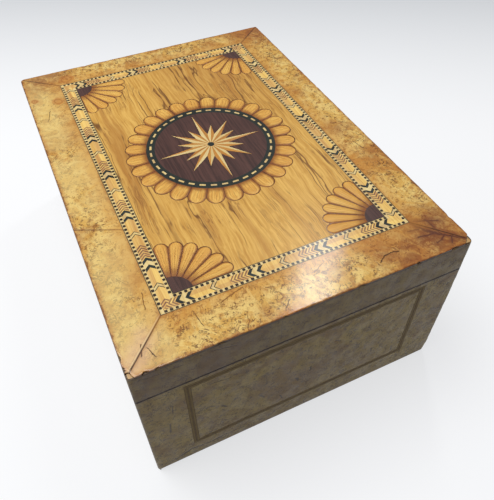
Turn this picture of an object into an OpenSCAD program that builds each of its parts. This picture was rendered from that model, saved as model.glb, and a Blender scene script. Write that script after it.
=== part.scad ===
// A veneered keepsake box with a marquetry lid, millimetres, +Z up.
// The origin is the middle of the underside. +X is the right-hand end, -Y the front with
// the lock, +Y the back with the hinges. The lid is drawn closed.

/* [Box] */
// Length of the closed box, left to right
box_l = 330; // [270:1:400]
// Width of the closed box, front to back
box_w = 237; // [200:1:290]
// Height of the body, from the floor to its rim
body_h = 109.3; // [85:0.1:150]
// Height of the lid, from its rim to the flat of its top
lid_h = 27.9; // [23:0.1:45]
// Slit between the closed lid and the body
shut_gap = 0.3; // [0.2:0.05:0.6]
// Radius worn on the upright corners
corner_r = 1.6; // [0.5:0.1:3]
// Radius worn on the edges of the top
top_r = 0.8; // [0.3:0.1:1.1]
// Radius worn on the edges of the underside
foot_r = 2.5; // [0.5:0.1:4]

/* [Boards and veneers] */
// Thickness of the carcass boards
board_t = 10; // [9:0.5:14]
// Thickness of the bottom board
bottom_t = 7; // [5:0.5:12]
// Thickness of the board under the lid veneers
lid_board_t = 7; // [5:0.5:9]
// Thickness of the sawn veneers and of every inlay
veneer_t = 1.2; // [1:0.1:1.6]
// Thickness of the hardwood facings on both rims
rim_t = 2.2; // [1.9:0.1:4]
// Hairline between the mitred facings
mitre_gap = 0.1; // [0.05:0.05:0.3]
// Thickness of the paper lining with its card
lining_t = 0.8; // [0.4:0.1:1.5]
// Number of dovetails down each body corner
body_tails = 4; // [2:1:6]
// Width of a body dovetail at its tip
body_tail_w = 15; // [8:0.5:16]
// Width of the single lid dovetail at its tip
lid_tail_w = 9.5; // [6:0.5:11]
// How much a dovetail narrows on each side, from tip to root
tail_taper = 1.4; // [0.8:0.1:2]

/* [Side border] */
// Distance of the border from the upright corners
border_side = 29.4; // [15:0.1:45]
// Distance of the border below the body rim
border_top = 3.8; // [2.5:0.1:15]
// Distance of the border above the underside
border_foot = 20; // [8:0.5:30]
// Width of each fine black line
fine_line_w = 0.45; // [0.3:0.05:0.8]
// Width of each pale line
pale_line_w = 1.15; // [0.8:0.05:2]
// Width of the black middle line
core_line_w = 1.3; // [0.8:0.05:2]

/* [Lid inlay] */
// Width of the burr frame along the left end
burr_left_w = 25; // [18:0.5:45]
// Width of the burr frame along the right end
burr_right_w = 32; // [18:0.5:45]
// Width of the burr frame along the front
burr_front_w = 30.5; // [18:0.5:45]
// Width of the burr frame along the back
burr_back_w = 28.5; // [18:0.5:45]
// Width of the thin black line on each edge of the banding
edge_line_w = 0.45; // [0.3:0.05:1]
// Width of each row of squares, with its cream strings
dentil_w = 2.35; // [2.2:0.05:3.5]
// Length of an inlaid black square along the banding
square_l = 1.9; // [1.2:0.05:2.4]
// Width of an inlaid black square across the banding
square_w = 1.7; // [1.2:0.05:1.9]
// Distance from one black square to the next
square_pitch = 3.55; // [3:0.05:6]
// Width of the chevron field
chevron_w = 6.6; // [5:0.1:10]
// How far a chevron's point runs ahead of its tails
chevron_tip = 2.9; // [1.5:0.1:5]
// Thickness of the two heavy black chevrons
heavy_l = 2.7; // [1.5:0.1:4]
// Cream between the two heavy chevrons
heavy_gap = 3.8; // [2:0.1:6]
// Thickness of a brown chevron stripe
brown_l = 1.2; // [0.8:0.1:2]
// Distance from one brown stripe to the next
brown_pitch = 2.4; // [2.2:0.1:4]
// Number of brown stripes in a group
brown_count = 5; // [2:1:6]
// Gold after the brown group
gold_a_l = 10.2; // [5:0.1:16]
// Thickness of a fine black chevron
fine_l = 0.7; // [0.5:0.1:1.2]
// Cream between the two fine chevrons
fine_gap = 1.9; // [1:0.1:3]
// Gold after the fine chevrons
gold_b_l = 13.3; // [6:0.1:20]

/* [Medallion] */
// Ground left between the wreath and the banding
wreath_room = 9.8; // [3:0.1:20]
// Width of the black ring round it
ring_w = 6.5; // [4:0.5:8]
// Number of cream dashes in the ring
dash_count = 36; // [20:1:48]
// Length of a cream dash
dash_l = 4.6; // [2.5:0.1:5]
// Width of a cream dash
dash_w = 1.6; // [1:0.1:2.4]
// Dark ground between the long points of the star and the ring
point_room = 2; // [1:0.5:6]
// How far the four middle points stop short of the long ones
mid_step = 8; // [4:0.5:12]
// How far the eight short points stop short of the long ones
short_step = 16; // [12:0.5:20]
// Height of the star's ridges above the veneer
star_rise = 0.6; // [0.3:0.1:1]
// Distance from the middle of the star to its valleys
valley_r = 14; // [9:0.5:17]
// Height of the star's tips above the veneer
star_edge = 0.1; // [0.05:0.05:0.3]
// Radius of the black button in the middle of the star
button_r = 2.6; // [1.5:0.1:4]
// Number of petals in the wreath round the ring
wreath_count = 28; // [16:1:36]
// Length of a wreath petal
wreath_l = 16; // [10:0.5:18]
// Number of petals in each corner fan
fan_count = 6; // [4:1:8]
// Reach of a corner fan from its corner
fan_r = 42; // [30:0.5:44]
// Radius of the dark hub of a corner fan
hub_r = 13; // [8:0.5:18]
// Width of the dark line round a petal
scorch_w = 0.5; // [0.3:0.05:1]

/* [Hinges] */
// Length of a hinge
hinge_l = 38; // [30:1:50]
// Distance of the middle of each hinge from the end of the box
hinge_in = 70; // [60:1:100]
// Distance of the pin in from the back face
pin_in = 1.6; // [1.2:0.1:1.8]
// Radius of the knuckles
knuckle_r = 2.4; // [2:0.1:2.8]
// Width of a leaf, from the pin
leaf_w = 8.2; // [7.8:0.1:8.8]
// Thickness of a leaf
leaf_t = 1.4; // [1:0.1:1.7]
// Radius of the hinge pin
pin_r = 1; // [0.8:0.05:1.3]
// Clearance of the pin in the knuckles
pin_fit = 0.05; // [0.02:0.01:0.08]
// Slit between two knuckles
knuckle_gap = 0.15; // [0.1:0.05:0.4]
// Room round the knuckles in the wood
knuckle_room = 0.35; // [0.3:0.05:0.6]
// Angle at which the bevelled back edges stop the lid
open_angle = 100; // [92:1:110]

/* [Lock] */
// Length of the lock's plates
plate_l = 54; // [50:1:64]
// Height of the back plate
plate_h = 30; // [29:1:40]
// Thickness of the back plate
plate_t = 1.2; // [1:0.1:1.5]
// Thickness of the rim plates
strike_t = 1.4; // [1:0.1:1.7]
// Length of the lock case
case_l = 44; // [43:1:48]
// Depth of the lock case into the board
case_d = 5.8; // [5.4:0.1:6.2]
// Wall of the lock case
case_wall = 0.8; // [0.6:0.1:1]
// Thickness of the lock case's two ends
case_end = 1; // [0.8:0.1:1.2]
// Height of the lock case below the body rim
case_h = 25; // [24.8:0.1:28]
// Distance of the keyhole below the body rim
key_drop = 18; // [17.8:0.1:18.4]
// Travel of the bolt
bolt_travel = 4.5; // [3.8:0.1:4.8]
// Thickness of the bolt
bolt_t = 1.5; // [1:0.1:1.6]
// Distance of the bolt's guide posts from the middle of the lock
guide_x = 9; // [8.7:0.1:9.3]
// Depth of a staple below the lid rim
staple_h = 11.3; // [11:0.1:11.5]
// Thickness of a staple along the box
staple_t = 2.2; // [1.8:0.1:2.3]
// Width of a staple across the wall
staple_w = 3.8; // [3.7:0.1:4]
// Clearance round let-in metalwork
let_in = 0.1; // [0.05:0.05:0.2]

/* [Screws] */
// Shank diameter of the wood screws
screw_d = 2.2; // [1.6:0.1:2.4]
// Head diameter of the wood screws
head_d = 3.8; // [3:0.1:4]
// Length of the wood screws
screw_l = 8.5; // [6:0.5:9]

/* [Hidden] */
$fn = 48;
eps = 0.01;
// Sides of the wide circles in the medallion, and steps round a petal's tip
wide_fn = 144;
tip_steps = 12;

// Sides are numbered clockwise from above: 0 back, 1 right, 2 front, 3 left.
BACK = 0;
RIGHT = 1;
FRONT = 2;
LEFT = 3;

// Half sizes of the carcass and of its inside, and the face of the front lining
carcass_x = box_l / 2 - veneer_t;
carcass_y = box_w / 2 - veneer_t;
inside_x = carcass_x - board_t;
inside_y = carcass_y - board_t;
well_y = inside_y - lining_t;

// Levels of the lid
lid_z = body_h + shut_gap;
top_z = lid_z + lid_h;
inlay_z = top_z - veneer_t;
lid_board_z = inlay_z - lid_board_t;

// Hinges, their axis and the bevel that stops the lid
hinge_x = box_l / 2 - hinge_in;
pin_y = box_w / 2 - pin_in;
pin_z = body_h + shut_gap / 2;
bevel = open_angle / 2 + 0.5;

// Corners of the banding and of the middle panel
band_w = 2 * (edge_line_w + dentil_w) + chevron_w;
band_x0 = -box_l / 2 + burr_left_w;
band_x1 = box_l / 2 - burr_right_w;
band_y0 = -box_w / 2 + burr_front_w;
band_y1 = box_w / 2 - burr_back_w;
panel_x = (band_x0 + band_x1) / 2;
panel_y = (band_y0 + band_y1) / 2;
panel_l = band_x1 - band_x0 - 2 * band_w;
panel_w = band_y1 - band_y0 - 2 * band_w;

// Colours of the woods and metals
pine = [0.78, 0.62, 0.40];
burr = [0.80, 0.62, 0.33];
side_burr = [0.45, 0.38, 0.25];
satinwood = [0.78, 0.55, 0.25];
holly = [0.90, 0.83, 0.60];
ebony = [0.14, 0.15, 0.14];
walnut = [0.50, 0.32, 0.20];
rosewood = [0.30, 0.19, 0.17];
mahogany = [0.42, 0.20, 0.12];
paper = [0.30, 0.40, 0.48];
brass = [0.72, 0.56, 0.27];
steel = [0.55, 0.55, 0.56];

// A solid from z0 to z1 over a flat shape
module slab(z0, z1) {
    translate([0, 0, z0])
        linear_extrude(z1 - z0)
            children();
}

// A rectangle with one radius on its lower corners and another on its upper corners
module worn_rect(w, h, low_r, high_r) {
    translate([-w / 2, low_r])
        square([w, h - low_r - high_r]);
    translate([-w / 2 + low_r, 0])
        square([w - 2 * low_r, h / 2]);
    translate([-w / 2 + high_r, h / 2])
        square([w - 2 * high_r, h / 2]);
    for (s = [-1, 1]) {
        translate([s * (w / 2 - low_r), low_r])
            circle(low_r);
        translate([s * (w / 2 - high_r), h - high_r])
            circle(high_r);
    }
}

// The closed box as one block with its edges worn round
module worn_block() {
    intersection() {
        slab(-1, top_z + 2)
            translate([0, -box_w / 2])
                worn_rect(box_l, box_w, corner_r, corner_r);
        translate([0, box_w / 2 + 1, 0])
            rotate([90, 0, 0])
                linear_extrude(box_w + 2)
                    worn_rect(box_l, top_z, foot_r, top_r);
        translate([-box_l / 2 - 1, 0, 0])
            rotate([90, 0, 90])
                linear_extrude(box_l + 2)
                    worn_rect(box_w, top_z, foot_r, top_r);
    }
}

// Cuts children back to the worn outline of the box
module worn() {
    intersection() {
        children();
        worn_block();
    }
}

// One mitred strip of a rectangular frame, hx by hy half size and w wide
module frame_strip(side, hx, hy, w) {
    long = (side % 2 == 0 ? hx : hy) - mitre_gap / 2;
    out = side % 2 == 0 ? hy : hx;
    rotate(-90 * side)
        polygon([[-long, out], [long, out], [long - w, out - w], [-long + w, out - w]]);
}

// A flat ring between the rectangle of half size hx by hy and one that is w smaller
module frame_ring(hx, hy, w) {
    difference() {
        square([2 * hx, 2 * hy], center = true);
        square([2 * (hx - w), 2 * (hy - w)], center = true);
    }
}

// Places children at both hinges
module at_hinges() {
    for (s = [-1, 1])
        translate([s * hinge_x, pin_y, pin_z])
            children();
}

// Offsets of the three screws along a leaf, and their distance from the pin
leaf_screws = [-hinge_l / 3, 0, hinge_l / 3];
leaf_screw_y = (leaf_w + knuckle_r + knuckle_room) / 2;

// Low head at each end of a hinge pin, and the room beyond it
pin_head_r = pin_r + 0.6;
pin_head_h = 0.5;
pin_end_room = 0.25;

// Room for the knuckles, at a hinge
module knuckle_space() {
    rotate([0, 90, 0])
        cylinder(r = knuckle_r + knuckle_room,
            h = hinge_l + 2 * (pin_head_h + pin_end_room), center = true);
}

// Everything the hinges cut from the body (up = -1) or the lid (up = 1). The bevel runs
// out from the pin to well past the back and past the rim.
module hinge_cuts(up) {
    reach = pin_in + 2;
    past = -up * knuckle_r;
    translate([-box_l / 2 - 1, pin_y, pin_z])
        rotate([90, 0, 90])
            linear_extrude(box_l + 2)
                polygon([[0, 0], [reach, up * reach * tan(bevel)], [reach, past], [0, past]]);
    at_hinges() {
        knuckle_space();
        translate([-hinge_l / 2 - let_in, -leaf_w - let_in, up > 0 ? 0 : -leaf_t - shut_gap / 2])
            cube([hinge_l + 2 * let_in, leaf_w + let_in, leaf_t + shut_gap / 2]);
        for (x = leaf_screws)
            translate([x, -leaf_screw_y, up > 0 ? 0 : -screw_l - shut_gap / 2])
                cylinder(d = screw_d + let_in, h = screw_l + shut_gap / 2);
    }
}

// The outline of the dovetails on the end of a board, seen on its face
module tail_outline(count, tail_w, board_h) {
    pitch = board_h / count;
    for (i = [0 : count - 1])
        translate([0, (i + 0.5) * pitch])
            polygon([[-board_t, -tail_w / 2 + tail_taper], [0, -tail_w / 2],
                [0, tail_w / 2], [-board_t, tail_w / 2 - tail_taper]]);
}

// A front or back carcass board from z0 to z1, with its tails
module tail_board(y0, z0, z1, count, tail_w) {
    translate([-inside_x, y0, z0])
        cube([2 * inside_x, board_t, z1 - z0]);
    translate([0, 0, z0])
        both_tails(count, tail_w, z1 - z0, y0);
}

// The tails at both ends, standing on the plane z = 0
module both_tails(count, tail_w, board_h, y0) {
    for (m = [0, 1])
        mirror([m, 0, 0])
            translate([carcass_x, y0 + board_t, 0])
                rotate([90, 0, 0])
                    linear_extrude(board_t)
                        tail_outline(count, tail_w, board_h);
}

// An end carcass board from z0 to z1, with sockets for the tails
module pin_board(x0, z0, z1, count, tail_w) {
    difference() {
        translate([x0, -carcass_y, z0])
            cube([board_t, 2 * carcass_y, z1 - z0]);
        for (y0 = [-carcass_y, inside_y])
            translate([0, 0, z0])
                both_tails(count, tail_w, z1 - z0, y0);
    }
}

board_z1 = body_h - rim_t;
lid_frame_z0 = lid_z + rim_t;

module body_front() {
    color(pine)
        difference() {
            tail_board(-carcass_y, bottom_t, board_z1, body_tails, body_tail_w);
            lock_cuts();
        }
}

module body_back() {
    color(pine)
        difference() {
            tail_board(inside_y, bottom_t, board_z1, body_tails, body_tail_w);
            hinge_cuts(-1);
        }
}

module body_left() {
    color(pine)
        pin_board(-carcass_x, bottom_t, board_z1, body_tails, body_tail_w);
}

module body_right() {
    color(pine)
        pin_board(inside_x, bottom_t, board_z1, body_tails, body_tail_w);
}

module bottom_board() {
    color(pine)
        worn()
            translate([-carcass_x, -carcass_y, 0])
                cube([2 * carcass_x, 2 * carcass_y, bottom_t]);
}

// The four facings lie on the boards and over the edge of the lining.
module body_rim() {
    color(mahogany)
        difference() {
            slab(board_z1, body_h)
                for (side = [BACK : LEFT])
                    frame_strip(side, carcass_x, carcass_y, board_t + lining_t);
            hinge_cuts(-1);
            lock_cuts();
        }
}

module lid_rim() {
    color(mahogany)
        difference() {
            slab(lid_z, lid_frame_z0)
                for (side = [BACK : LEFT])
                    frame_strip(side, carcass_x, carcass_y, board_t + lining_t);
            hinge_cuts(1);
            link_cuts();
        }
}

// Places a flat shape of one side on the outside of the carcass. Its x runs to the right
// for someone who faces that side, its y runs up and its thickness is the veneer's.
module on_side(side) {
    out = side % 2 == 0 ? carcass_y : carcass_x;
    rotate([0, 0, 180 - 90 * side])
        translate([0, -out, 0])
            rotate([90, 0, 0])
                linear_extrude(veneer_t)
                    children();
}

// Half length of a side's veneer: front and back cover the edges of the end veneers.
function side_half(side) = side % 2 == 0 ? box_l / 2 : carcass_y;

// Half size and middle height of the border's outer edge on a side
function border_half(side) = (side % 2 == 0 ? box_l : box_w) / 2 - border_side;
border_mid = (border_foot + body_h - border_top) / 2;
border_up = (body_h - border_top - border_foot) / 2;
border_w = 2 * (fine_line_w + pale_line_w) + core_line_w;

// The border's five lines, from the outside in: distance from the outer edge and width
border_lines = [
    [0, fine_line_w],
    [fine_line_w, pale_line_w],
    [fine_line_w + pale_line_w, core_line_w],
    [fine_line_w + pale_line_w + core_line_w, pale_line_w],
    [border_w - fine_line_w, fine_line_w]];

// The chosen lines of the border on all four sides
module border(lines) {
    for (side = [BACK : LEFT])
        on_side(side)
            translate([0, border_mid])
                for (i = lines)
                    frame_ring(border_half(side) - border_lines[i][0],
                        border_up - border_lines[i][0], border_lines[i][1]);
}

module border_black() {
    color(ebony)
        border([0, 2, 4]);
}

module border_pale() {
    color(holly)
        border([1, 3]);
}

// A body veneer: the margin, cut back to the worn outline, and the inner panel
module body_veneer(side) {
    hx = border_half(side);
    worn()
        on_side(side)
            difference() {
                translate([-side_half(side), 0])
                    square([2 * side_half(side), body_h]);
                translate([-hx, border_foot])
                    square([2 * hx, 2 * border_up]);
            }
    on_side(side)
        translate([-hx + border_w, border_foot + border_w])
            square([2 * (hx - border_w), 2 * (border_up - border_w)]);
}

module body_veneer_front() {
    color(side_burr)
        difference() {
            body_veneer(FRONT);
            on_side(FRONT)
                escutcheon_outline(pin_fit);
        }
}

module body_veneer_back() {
    color(side_burr)
        difference() {
            body_veneer(BACK);
            hinge_cuts(-1);
        }
}

module body_veneer_left() {
    color(side_burr)
        difference() {
            body_veneer(LEFT);
            hinge_cuts(-1);
        }
}

module body_veneer_right() {
    color(side_burr)
        difference() {
            body_veneer(RIGHT);
            hinge_cuts(-1);
        }
}

// Paper lining of the walls and the floor, cut round the lock
module body_lining() {
    color(paper)
        difference() {
            union() {
                slab(bottom_t, bottom_t + lining_t)
                    square([2 * inside_x, 2 * inside_y], center = true);
                slab(bottom_t + lining_t, board_z1)
                    frame_ring(inside_x, inside_y, lining_t);
            }
            lock_cuts();
        }
}

module lid_front() {
    color(pine)
        difference() {
            tail_board(-carcass_y, lid_frame_z0, lid_board_z, 1, lid_tail_w);
            link_cuts();
        }
}

module lid_back() {
    color(pine)
        difference() {
            tail_board(inside_y, lid_frame_z0, lid_board_z, 1, lid_tail_w);
            hinge_cuts(1);
        }
}

module lid_left() {
    color(pine)
        pin_board(-carcass_x, lid_frame_z0, lid_board_z, 1, lid_tail_w);
}

module lid_right() {
    color(pine)
        pin_board(inside_x, lid_frame_z0, lid_board_z, 1, lid_tail_w);
}

module lid_board() {
    color(pine)
        translate([-carcass_x, -carcass_y, lid_board_z])
            cube([2 * carcass_x, 2 * carcass_y, lid_board_t]);
}

// A lid side veneer, from the lid rim to the underside of the top veneers
module lid_veneer(side) {
    worn()
        on_side(side)
            translate([-side_half(side), lid_z])
                square([2 * side_half(side), inlay_z - lid_z]);
}

module lid_veneer_front() {
    color(side_burr)
        lid_veneer(FRONT);
}

module lid_veneer_back() {
    color(side_burr)
        difference() {
            lid_veneer(BACK);
            hinge_cuts(1);
        }
}

module lid_veneer_left() {
    color(side_burr)
        difference() {
            lid_veneer(LEFT);
            hinge_cuts(1);
        }
}

module lid_veneer_right() {
    color(side_burr)
        difference() {
            lid_veneer(RIGHT);
            hinge_cuts(1);
        }
}

module lid_lining() {
    color(paper) {
        slab(lid_board_z - lining_t, lid_board_z)
            square([2 * inside_x, 2 * inside_y], center = true);
        slab(lid_frame_z0, lid_board_z - lining_t)
            frame_ring(inside_x, inside_y, lining_t);
    }
}

// The burr frame: four pieces, mitred from the lid's corners to the banding's corners
function lid_corner(i) = [
    [-box_l / 2, box_w / 2], [box_l / 2, box_w / 2],
    [box_l / 2, -box_w / 2], [-box_l / 2, -box_w / 2]][i % 4];
function band_corner(i) = [
    [band_x0, band_y1], [band_x1, band_y1],
    [band_x1, band_y0], [band_x0, band_y0]][i % 4];

module burr_piece(side) {
    color(burr)
        worn()
            slab(inlay_z, top_z)
                polygon([lid_corner(side), lid_corner(side + 1),
                    band_corner(side + 1), band_corner(side)]);
}

module burr_front() {
    burr_piece(FRONT);
}

module burr_back() {
    burr_piece(BACK);
}

module burr_left() {
    burr_piece(LEFT);
}

module burr_right() {
    burr_piece(RIGHT);
}

// Outer length of the banding on a side, and the middle of its centre line
function band_len(side) = side % 2 == 0 ? band_x1 - band_x0 : band_y1 - band_y0;
band_mids = [
    [panel_x, band_y1 - band_w / 2], [band_x1 - band_w / 2, panel_y],
    [panel_x, band_y0 + band_w / 2], [band_x0 + band_w / 2, panel_y]];

// Half length of the banding at a distance v outwards from its centre line
function band_half(side, v) = (band_len(side) - band_w) / 2 + v;

// Places a flat shape on a side of the banding: x runs along it, y outwards
module on_band(side) {
    translate(band_mids[side])
        rotate(-90 * side)
            children();
}

// A mitred strip of the banding between the distances v0 and v1
module band_strip(side, v0, v1) {
    polygon([[-band_half(side, v0), v0], [band_half(side, v0), v0],
        [band_half(side, v1), v1], [-band_half(side, v1), v1]]);
}

// The banding's levels, outwards from the centre line
square_v0 = chevron_w / 2 + (dentil_w - square_w) / 2;
square_v1 = square_v0 + square_w;
dentil_v1 = chevron_w / 2 + dentil_w;

// A ring of the banding between the distances v0 and v1
module band_ring(v0, v1) {
    translate([panel_x, panel_y])
        frame_ring((band_x1 - band_x0 - band_w) / 2 + v1, (band_y1 - band_y0 - band_w) / 2 + v1,
            v1 - v0);
}

module banding_lines() {
    color(ebony)
        slab(inlay_z, top_z) {
            band_ring(dentil_v1, band_w / 2);
            band_ring(-band_w / 2, -dentil_v1);
        }
}

// Number of squares in the inner (s = -1) or outer (s = 1) row of a side
function square_count(side, s) =
    floor((2 * band_half(side, s < 0 ? -square_v1 : square_v0) - square_l) / square_pitch) + 1;
function square_u(i, count) = (i - (count - 1) / 2) * square_pitch;

// The row of squares of a side, outside (s = 1) or inside (s = -1) the chevrons
module square_row(side, s) {
    count = square_count(side, s);
    on_band(side)
        for (i = [0 : count - 1])
            translate([square_u(i, count), s * (square_v0 + square_w / 2)])
                square([square_l, square_w], center = true);
}

module banding_squares() {
    color(ebony)
        slab(inlay_z, top_z)
            for (side = [BACK : LEFT], s = [-1, 1])
                square_row(side, s);
}

// One repeat of the chevron field, along the way the points face: start, end and wood
gold_lead_l = 1;
brown_end = 2 * heavy_l + heavy_gap + gold_lead_l + brown_count * brown_pitch;
fine_start = brown_end + gold_a_l - (brown_pitch - brown_l);
repeat_l = fine_start + 2 * fine_l + fine_gap + gold_b_l;
slices = concat(
    [[0, heavy_l, "black"],
        [heavy_l, heavy_l + heavy_gap, "cream"],
        [heavy_l + heavy_gap, 2 * heavy_l + heavy_gap, "black"],
        [2 * heavy_l + heavy_gap, brown_end - brown_count * brown_pitch, "gold"]],
    [for (i = [0 : brown_count - 1])
        let (u = brown_end - (brown_count - i) * brown_pitch)
            [u, u + brown_l, "brown"]],
    [for (i = [0 : brown_count - 1])
        let (u = brown_end - (brown_count - i) * brown_pitch + brown_l)
            [u, i < brown_count - 1 ? u + brown_pitch - brown_l : fine_start, "gold"]],
    [[fine_start, fine_start + fine_l, "black"],
        [fine_start + fine_l, fine_start + fine_l + fine_gap, "cream"],
        [fine_start + fine_l + fine_gap, fine_start + 2 * fine_l + fine_gap, "black"],
        [fine_start + 2 * fine_l + fine_gap, repeat_l, "gold"]]);
heavy_mid = heavy_l + heavy_gap / 2;

// A chevron slice from u0 to u1, measured at its point
module chevron(u0, u1) {
    c = chevron_w / 2;
    polygon([[u0, 0], [u0 - chevron_tip, c], [u1 - chevron_tip, c],
        [u1, 0], [u1 - chevron_tip, -c], [u0 - chevron_tip, -c]]);
}

// All slices of one wood. A pair of heavy chevrons lies at the middle of each long side
// and half a repeat from the middle of each short one. The mitres cut the outer slices.
module chevrons(wood) {
    for (side = [BACK : LEFT])
        on_band(side) {
            phase = side % 2 == 0 ? 0 : 0.5;
            inner = band_half(side, -chevron_w / 2);
            outer = band_half(side, chevron_w / 2);
            n = ceil(outer / repeat_l) + 1;
            for (i = [-n : n], slice = slices)
                if (slice[2] == wood) {
                    base = (i + phase) * repeat_l - heavy_mid + chevron_tip / 2;
                    u0 = base + slice[0];
                    u1 = base + slice[1];
                    if (u0 - chevron_tip >= -inner && u1 <= inner)
                        chevron(u0, u1);
                    else if (u1 > -outer && u0 - chevron_tip < outer)
                        intersection() {
                            chevron(u0, u1);
                            band_strip(side, -chevron_w / 2, chevron_w / 2);
                        }
                }
        }
}

// The cream slices of the chevrons, and the two cream strings that hold the squares
module banding_cream() {
    color(holly)
        slab(inlay_z, top_z) {
            chevrons("cream");
            difference() {
                band_ring(chevron_w / 2, dentil_v1);
                for (side = [BACK : LEFT])
                    square_row(side, 1);
            }
            difference() {
                band_ring(-dentil_v1, -chevron_w / 2);
                for (side = [BACK : LEFT])
                    square_row(side, -1);
            }
        }
}

module chevrons_black() {
    color(ebony)
        slab(inlay_z, top_z)
            chevrons("black");
}

module chevrons_brown() {
    color(walnut)
        slab(inlay_z, top_z)
            chevrons("brown");
}

module chevrons_gold() {
    color(satinwood)
        slab(inlay_z, top_z)
            chevrons("gold");
}

// A petal along +X from a flat foot at r0 to its round tip at r1. Its sides run along the
// rays at half the angle a, held in by g.
function petal(r0, r1, a, g) =
    let (
        h = a / 2,
        mid = (r1 + g) / (1 + sin(h)),
        tip = r1 - mid,
        foot = r0 * tan(h) - g / cos(h))
    concat(
        [[r0, foot], [r0, -foot]],
        [for (i = [0 : tip_steps])
            let (b = -(90 - h) + i * (180 - 2 * h) / tip_steps)
                [mid + tip * cos(b), tip * sin(b)]]);

wreath_r1 = panel_w / 2 - wreath_room - scorch_w;
wreath_r0 = wreath_r1 - wreath_l;
roundel_r = wreath_r0 - ring_w;
long_point = roundel_r - point_room;
mid_point = long_point - mid_step;
short_point = long_point - short_step;
wreath_a = 360 / wreath_count;
fan_a = 90 / fan_count;

// Petals side by side round the origin
module petals(count, a, r0, r1) {
    for (i = [0 : count - 1])
        rotate((i + 0.5) * a)
            polygon(petal(r0 + scorch_w / 2, r1, a, scorch_w / 2));
}

// The outline round a full turn of petals whose tips reach r1
module scallops(count, r1) {
    h = 180 / count;
    mid = r1 / (1 + sin(h));
    tip = r1 - mid;
    polygon([for (i = [0 : count - 1], k = [1 : tip_steps])
        let (
            turn = (2 * i + 1) * h,
            b = turn - 90 + h + k * (180 - 2 * h) / tip_steps)
            [mid * cos(turn) + tip * cos(b), mid * sin(turn) + tip * sin(b)]]);
}

module wreath_outline() {
    petals(wreath_count, wreath_a, wreath_r0, wreath_r1);
}

module wreath_bed() {
    scallops(wreath_count, wreath_r1 + scorch_w);
}

module fan_outline() {
    petals(fan_count, fan_a, hub_r, fan_r);
}

// A full turn of the fan's bed. Only the quarter inside the corner is used.
module fan_bed() {
    scallops(4 * fan_count, fan_r + scorch_w);
}

// Places children at each corner of the panel, turned so that +X and +Y run inwards
module at_corners() {
    for (i = [0 : 3])
        translate([panel_x + (i == 0 || i == 3 ? -1 : 1) * panel_l / 2,
            panel_y + (i < 2 ? -1 : 1) * panel_w / 2])
            rotate(90 * i)
                children();
}

// The quarter of a shape that lies inside the corner
module quarter() {
    intersection() {
        children();
        square(fan_r + 2);
    }
}

module wreath_petals() {
    color(satinwood)
        slab(inlay_z, top_z)
            translate([panel_x, panel_y])
                wreath_outline();
}

module fan_petals() {
    color(satinwood)
        slab(inlay_z, top_z)
            at_corners()
                fan_outline();
}

module fan_hubs() {
    color(rosewood)
        slab(inlay_z, top_z)
            at_corners()
                quarter()
                    circle(hub_r, $fn = wide_fn);
}

// Dark beds that show as a line round every petal
module petal_beds() {
    color(walnut)
        slab(inlay_z, top_z) {
            translate([panel_x, panel_y])
                difference() {
                    wreath_bed();
                    wreath_outline();
                    circle(wreath_r0, $fn = wide_fn);
                }
            at_corners()
                difference() {
                    quarter()
                        fan_bed();
                    fan_outline();
                    circle(hub_r, $fn = wide_fn);
                }
        }
}

module panel_ground() {
    color(satinwood)
        slab(inlay_z, top_z)
            difference() {
                translate([panel_x, panel_y])
                    square([panel_l, panel_w], center = true);
                translate([panel_x, panel_y])
                    wreath_bed();
                at_corners()
                    fan_bed();
            }
}

// The star: sixteen points of three lengths, each a light and a shaded half.
// A half lies between the ray of its tip and the ray of the valley beside it.
star_points = [for (i = [0 : 15]) i % 4 == 0 ? long_point : i % 4 == 2 ? mid_point : short_point];
star_step = 22.5;

// The four corners of half s of point i: on the button, at the tip, in the valley and on
// the button again. The last corner is left out where the half runs on to the middle.
function star_half(i, s, r) =
    let (
        tip = [cos(star_step * i), sin(star_step * i)],
        valley = [cos(star_step * (i + s / 2)), sin(star_step * (i + s / 2))])
    [r * tip, star_points[i] * tip, valley_r * valley, r * valley];

// One half as a facet that falls from the middle of the star to its tip and its valley
module star_facet(i, s) {
    corners = star_half(i, s, button_r);
    flat = s > 0 ? corners : [for (k = [3, 2, 1, 0]) corners[k]];
    reach = s > 0
        ? [star_points[i], star_points[i], valley_r, valley_r]
        : [valley_r, valley_r, star_points[i], star_points[i]];
    top = [for (k = [0 : 3]) top_z + star_rise * (1 - norm(flat[k]) / reach[k]) + star_edge];
    polyhedron(
        concat([for (p = flat) [p[0], p[1], inlay_z]],
            [for (k = [0 : 3]) [flat[k][0], flat[k][1], top[k]]]),
        [[0, 1, 2, 3], [7, 6, 5, 4], [0, 4, 5, 1], [1, 5, 6, 2], [2, 6, 7, 3], [3, 7, 4, 0]]);
}

module star_halves(s) {
    translate([panel_x, panel_y, 0])
        for (i = [0 : 15])
            star_facet(i, s);
}

module star_light() {
    color(holly)
        star_halves(1);
}

module star_button() {
    color(ebony)
        slab(inlay_z, top_z + star_rise + star_edge)
            translate([panel_x, panel_y])
                circle(button_r * cos(star_step / 4));
}

module star_shade() {
    color(satinwood)
        star_halves(-1);
}

module roundel_ground() {
    color(rosewood)
        slab(inlay_z, top_z)
            translate([panel_x, panel_y])
                difference() {
                    circle(roundel_r, $fn = wide_fn);
                    for (i = [0 : 15], s = [-1, 1])
                        polygon(star_half(i, s, 0));
                }
}

module dashes() {
    for (i = [0 : dash_count - 1])
        rotate(i * 360 / dash_count)
            translate([roundel_r + ring_w / 2, 0])
                square([dash_w, dash_l], center = true);
}

module ring_black() {
    color(ebony)
        slab(inlay_z, top_z)
            translate([panel_x, panel_y])
                difference() {
                    circle(wreath_r0, $fn = wide_fn);
                    circle(roundel_r, $fn = wide_fn);
                    dashes();
                }
}

module ring_dashes() {
    color(holly)
        slab(inlay_z, top_z)
            translate([panel_x, panel_y])
                dashes();
}

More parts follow.
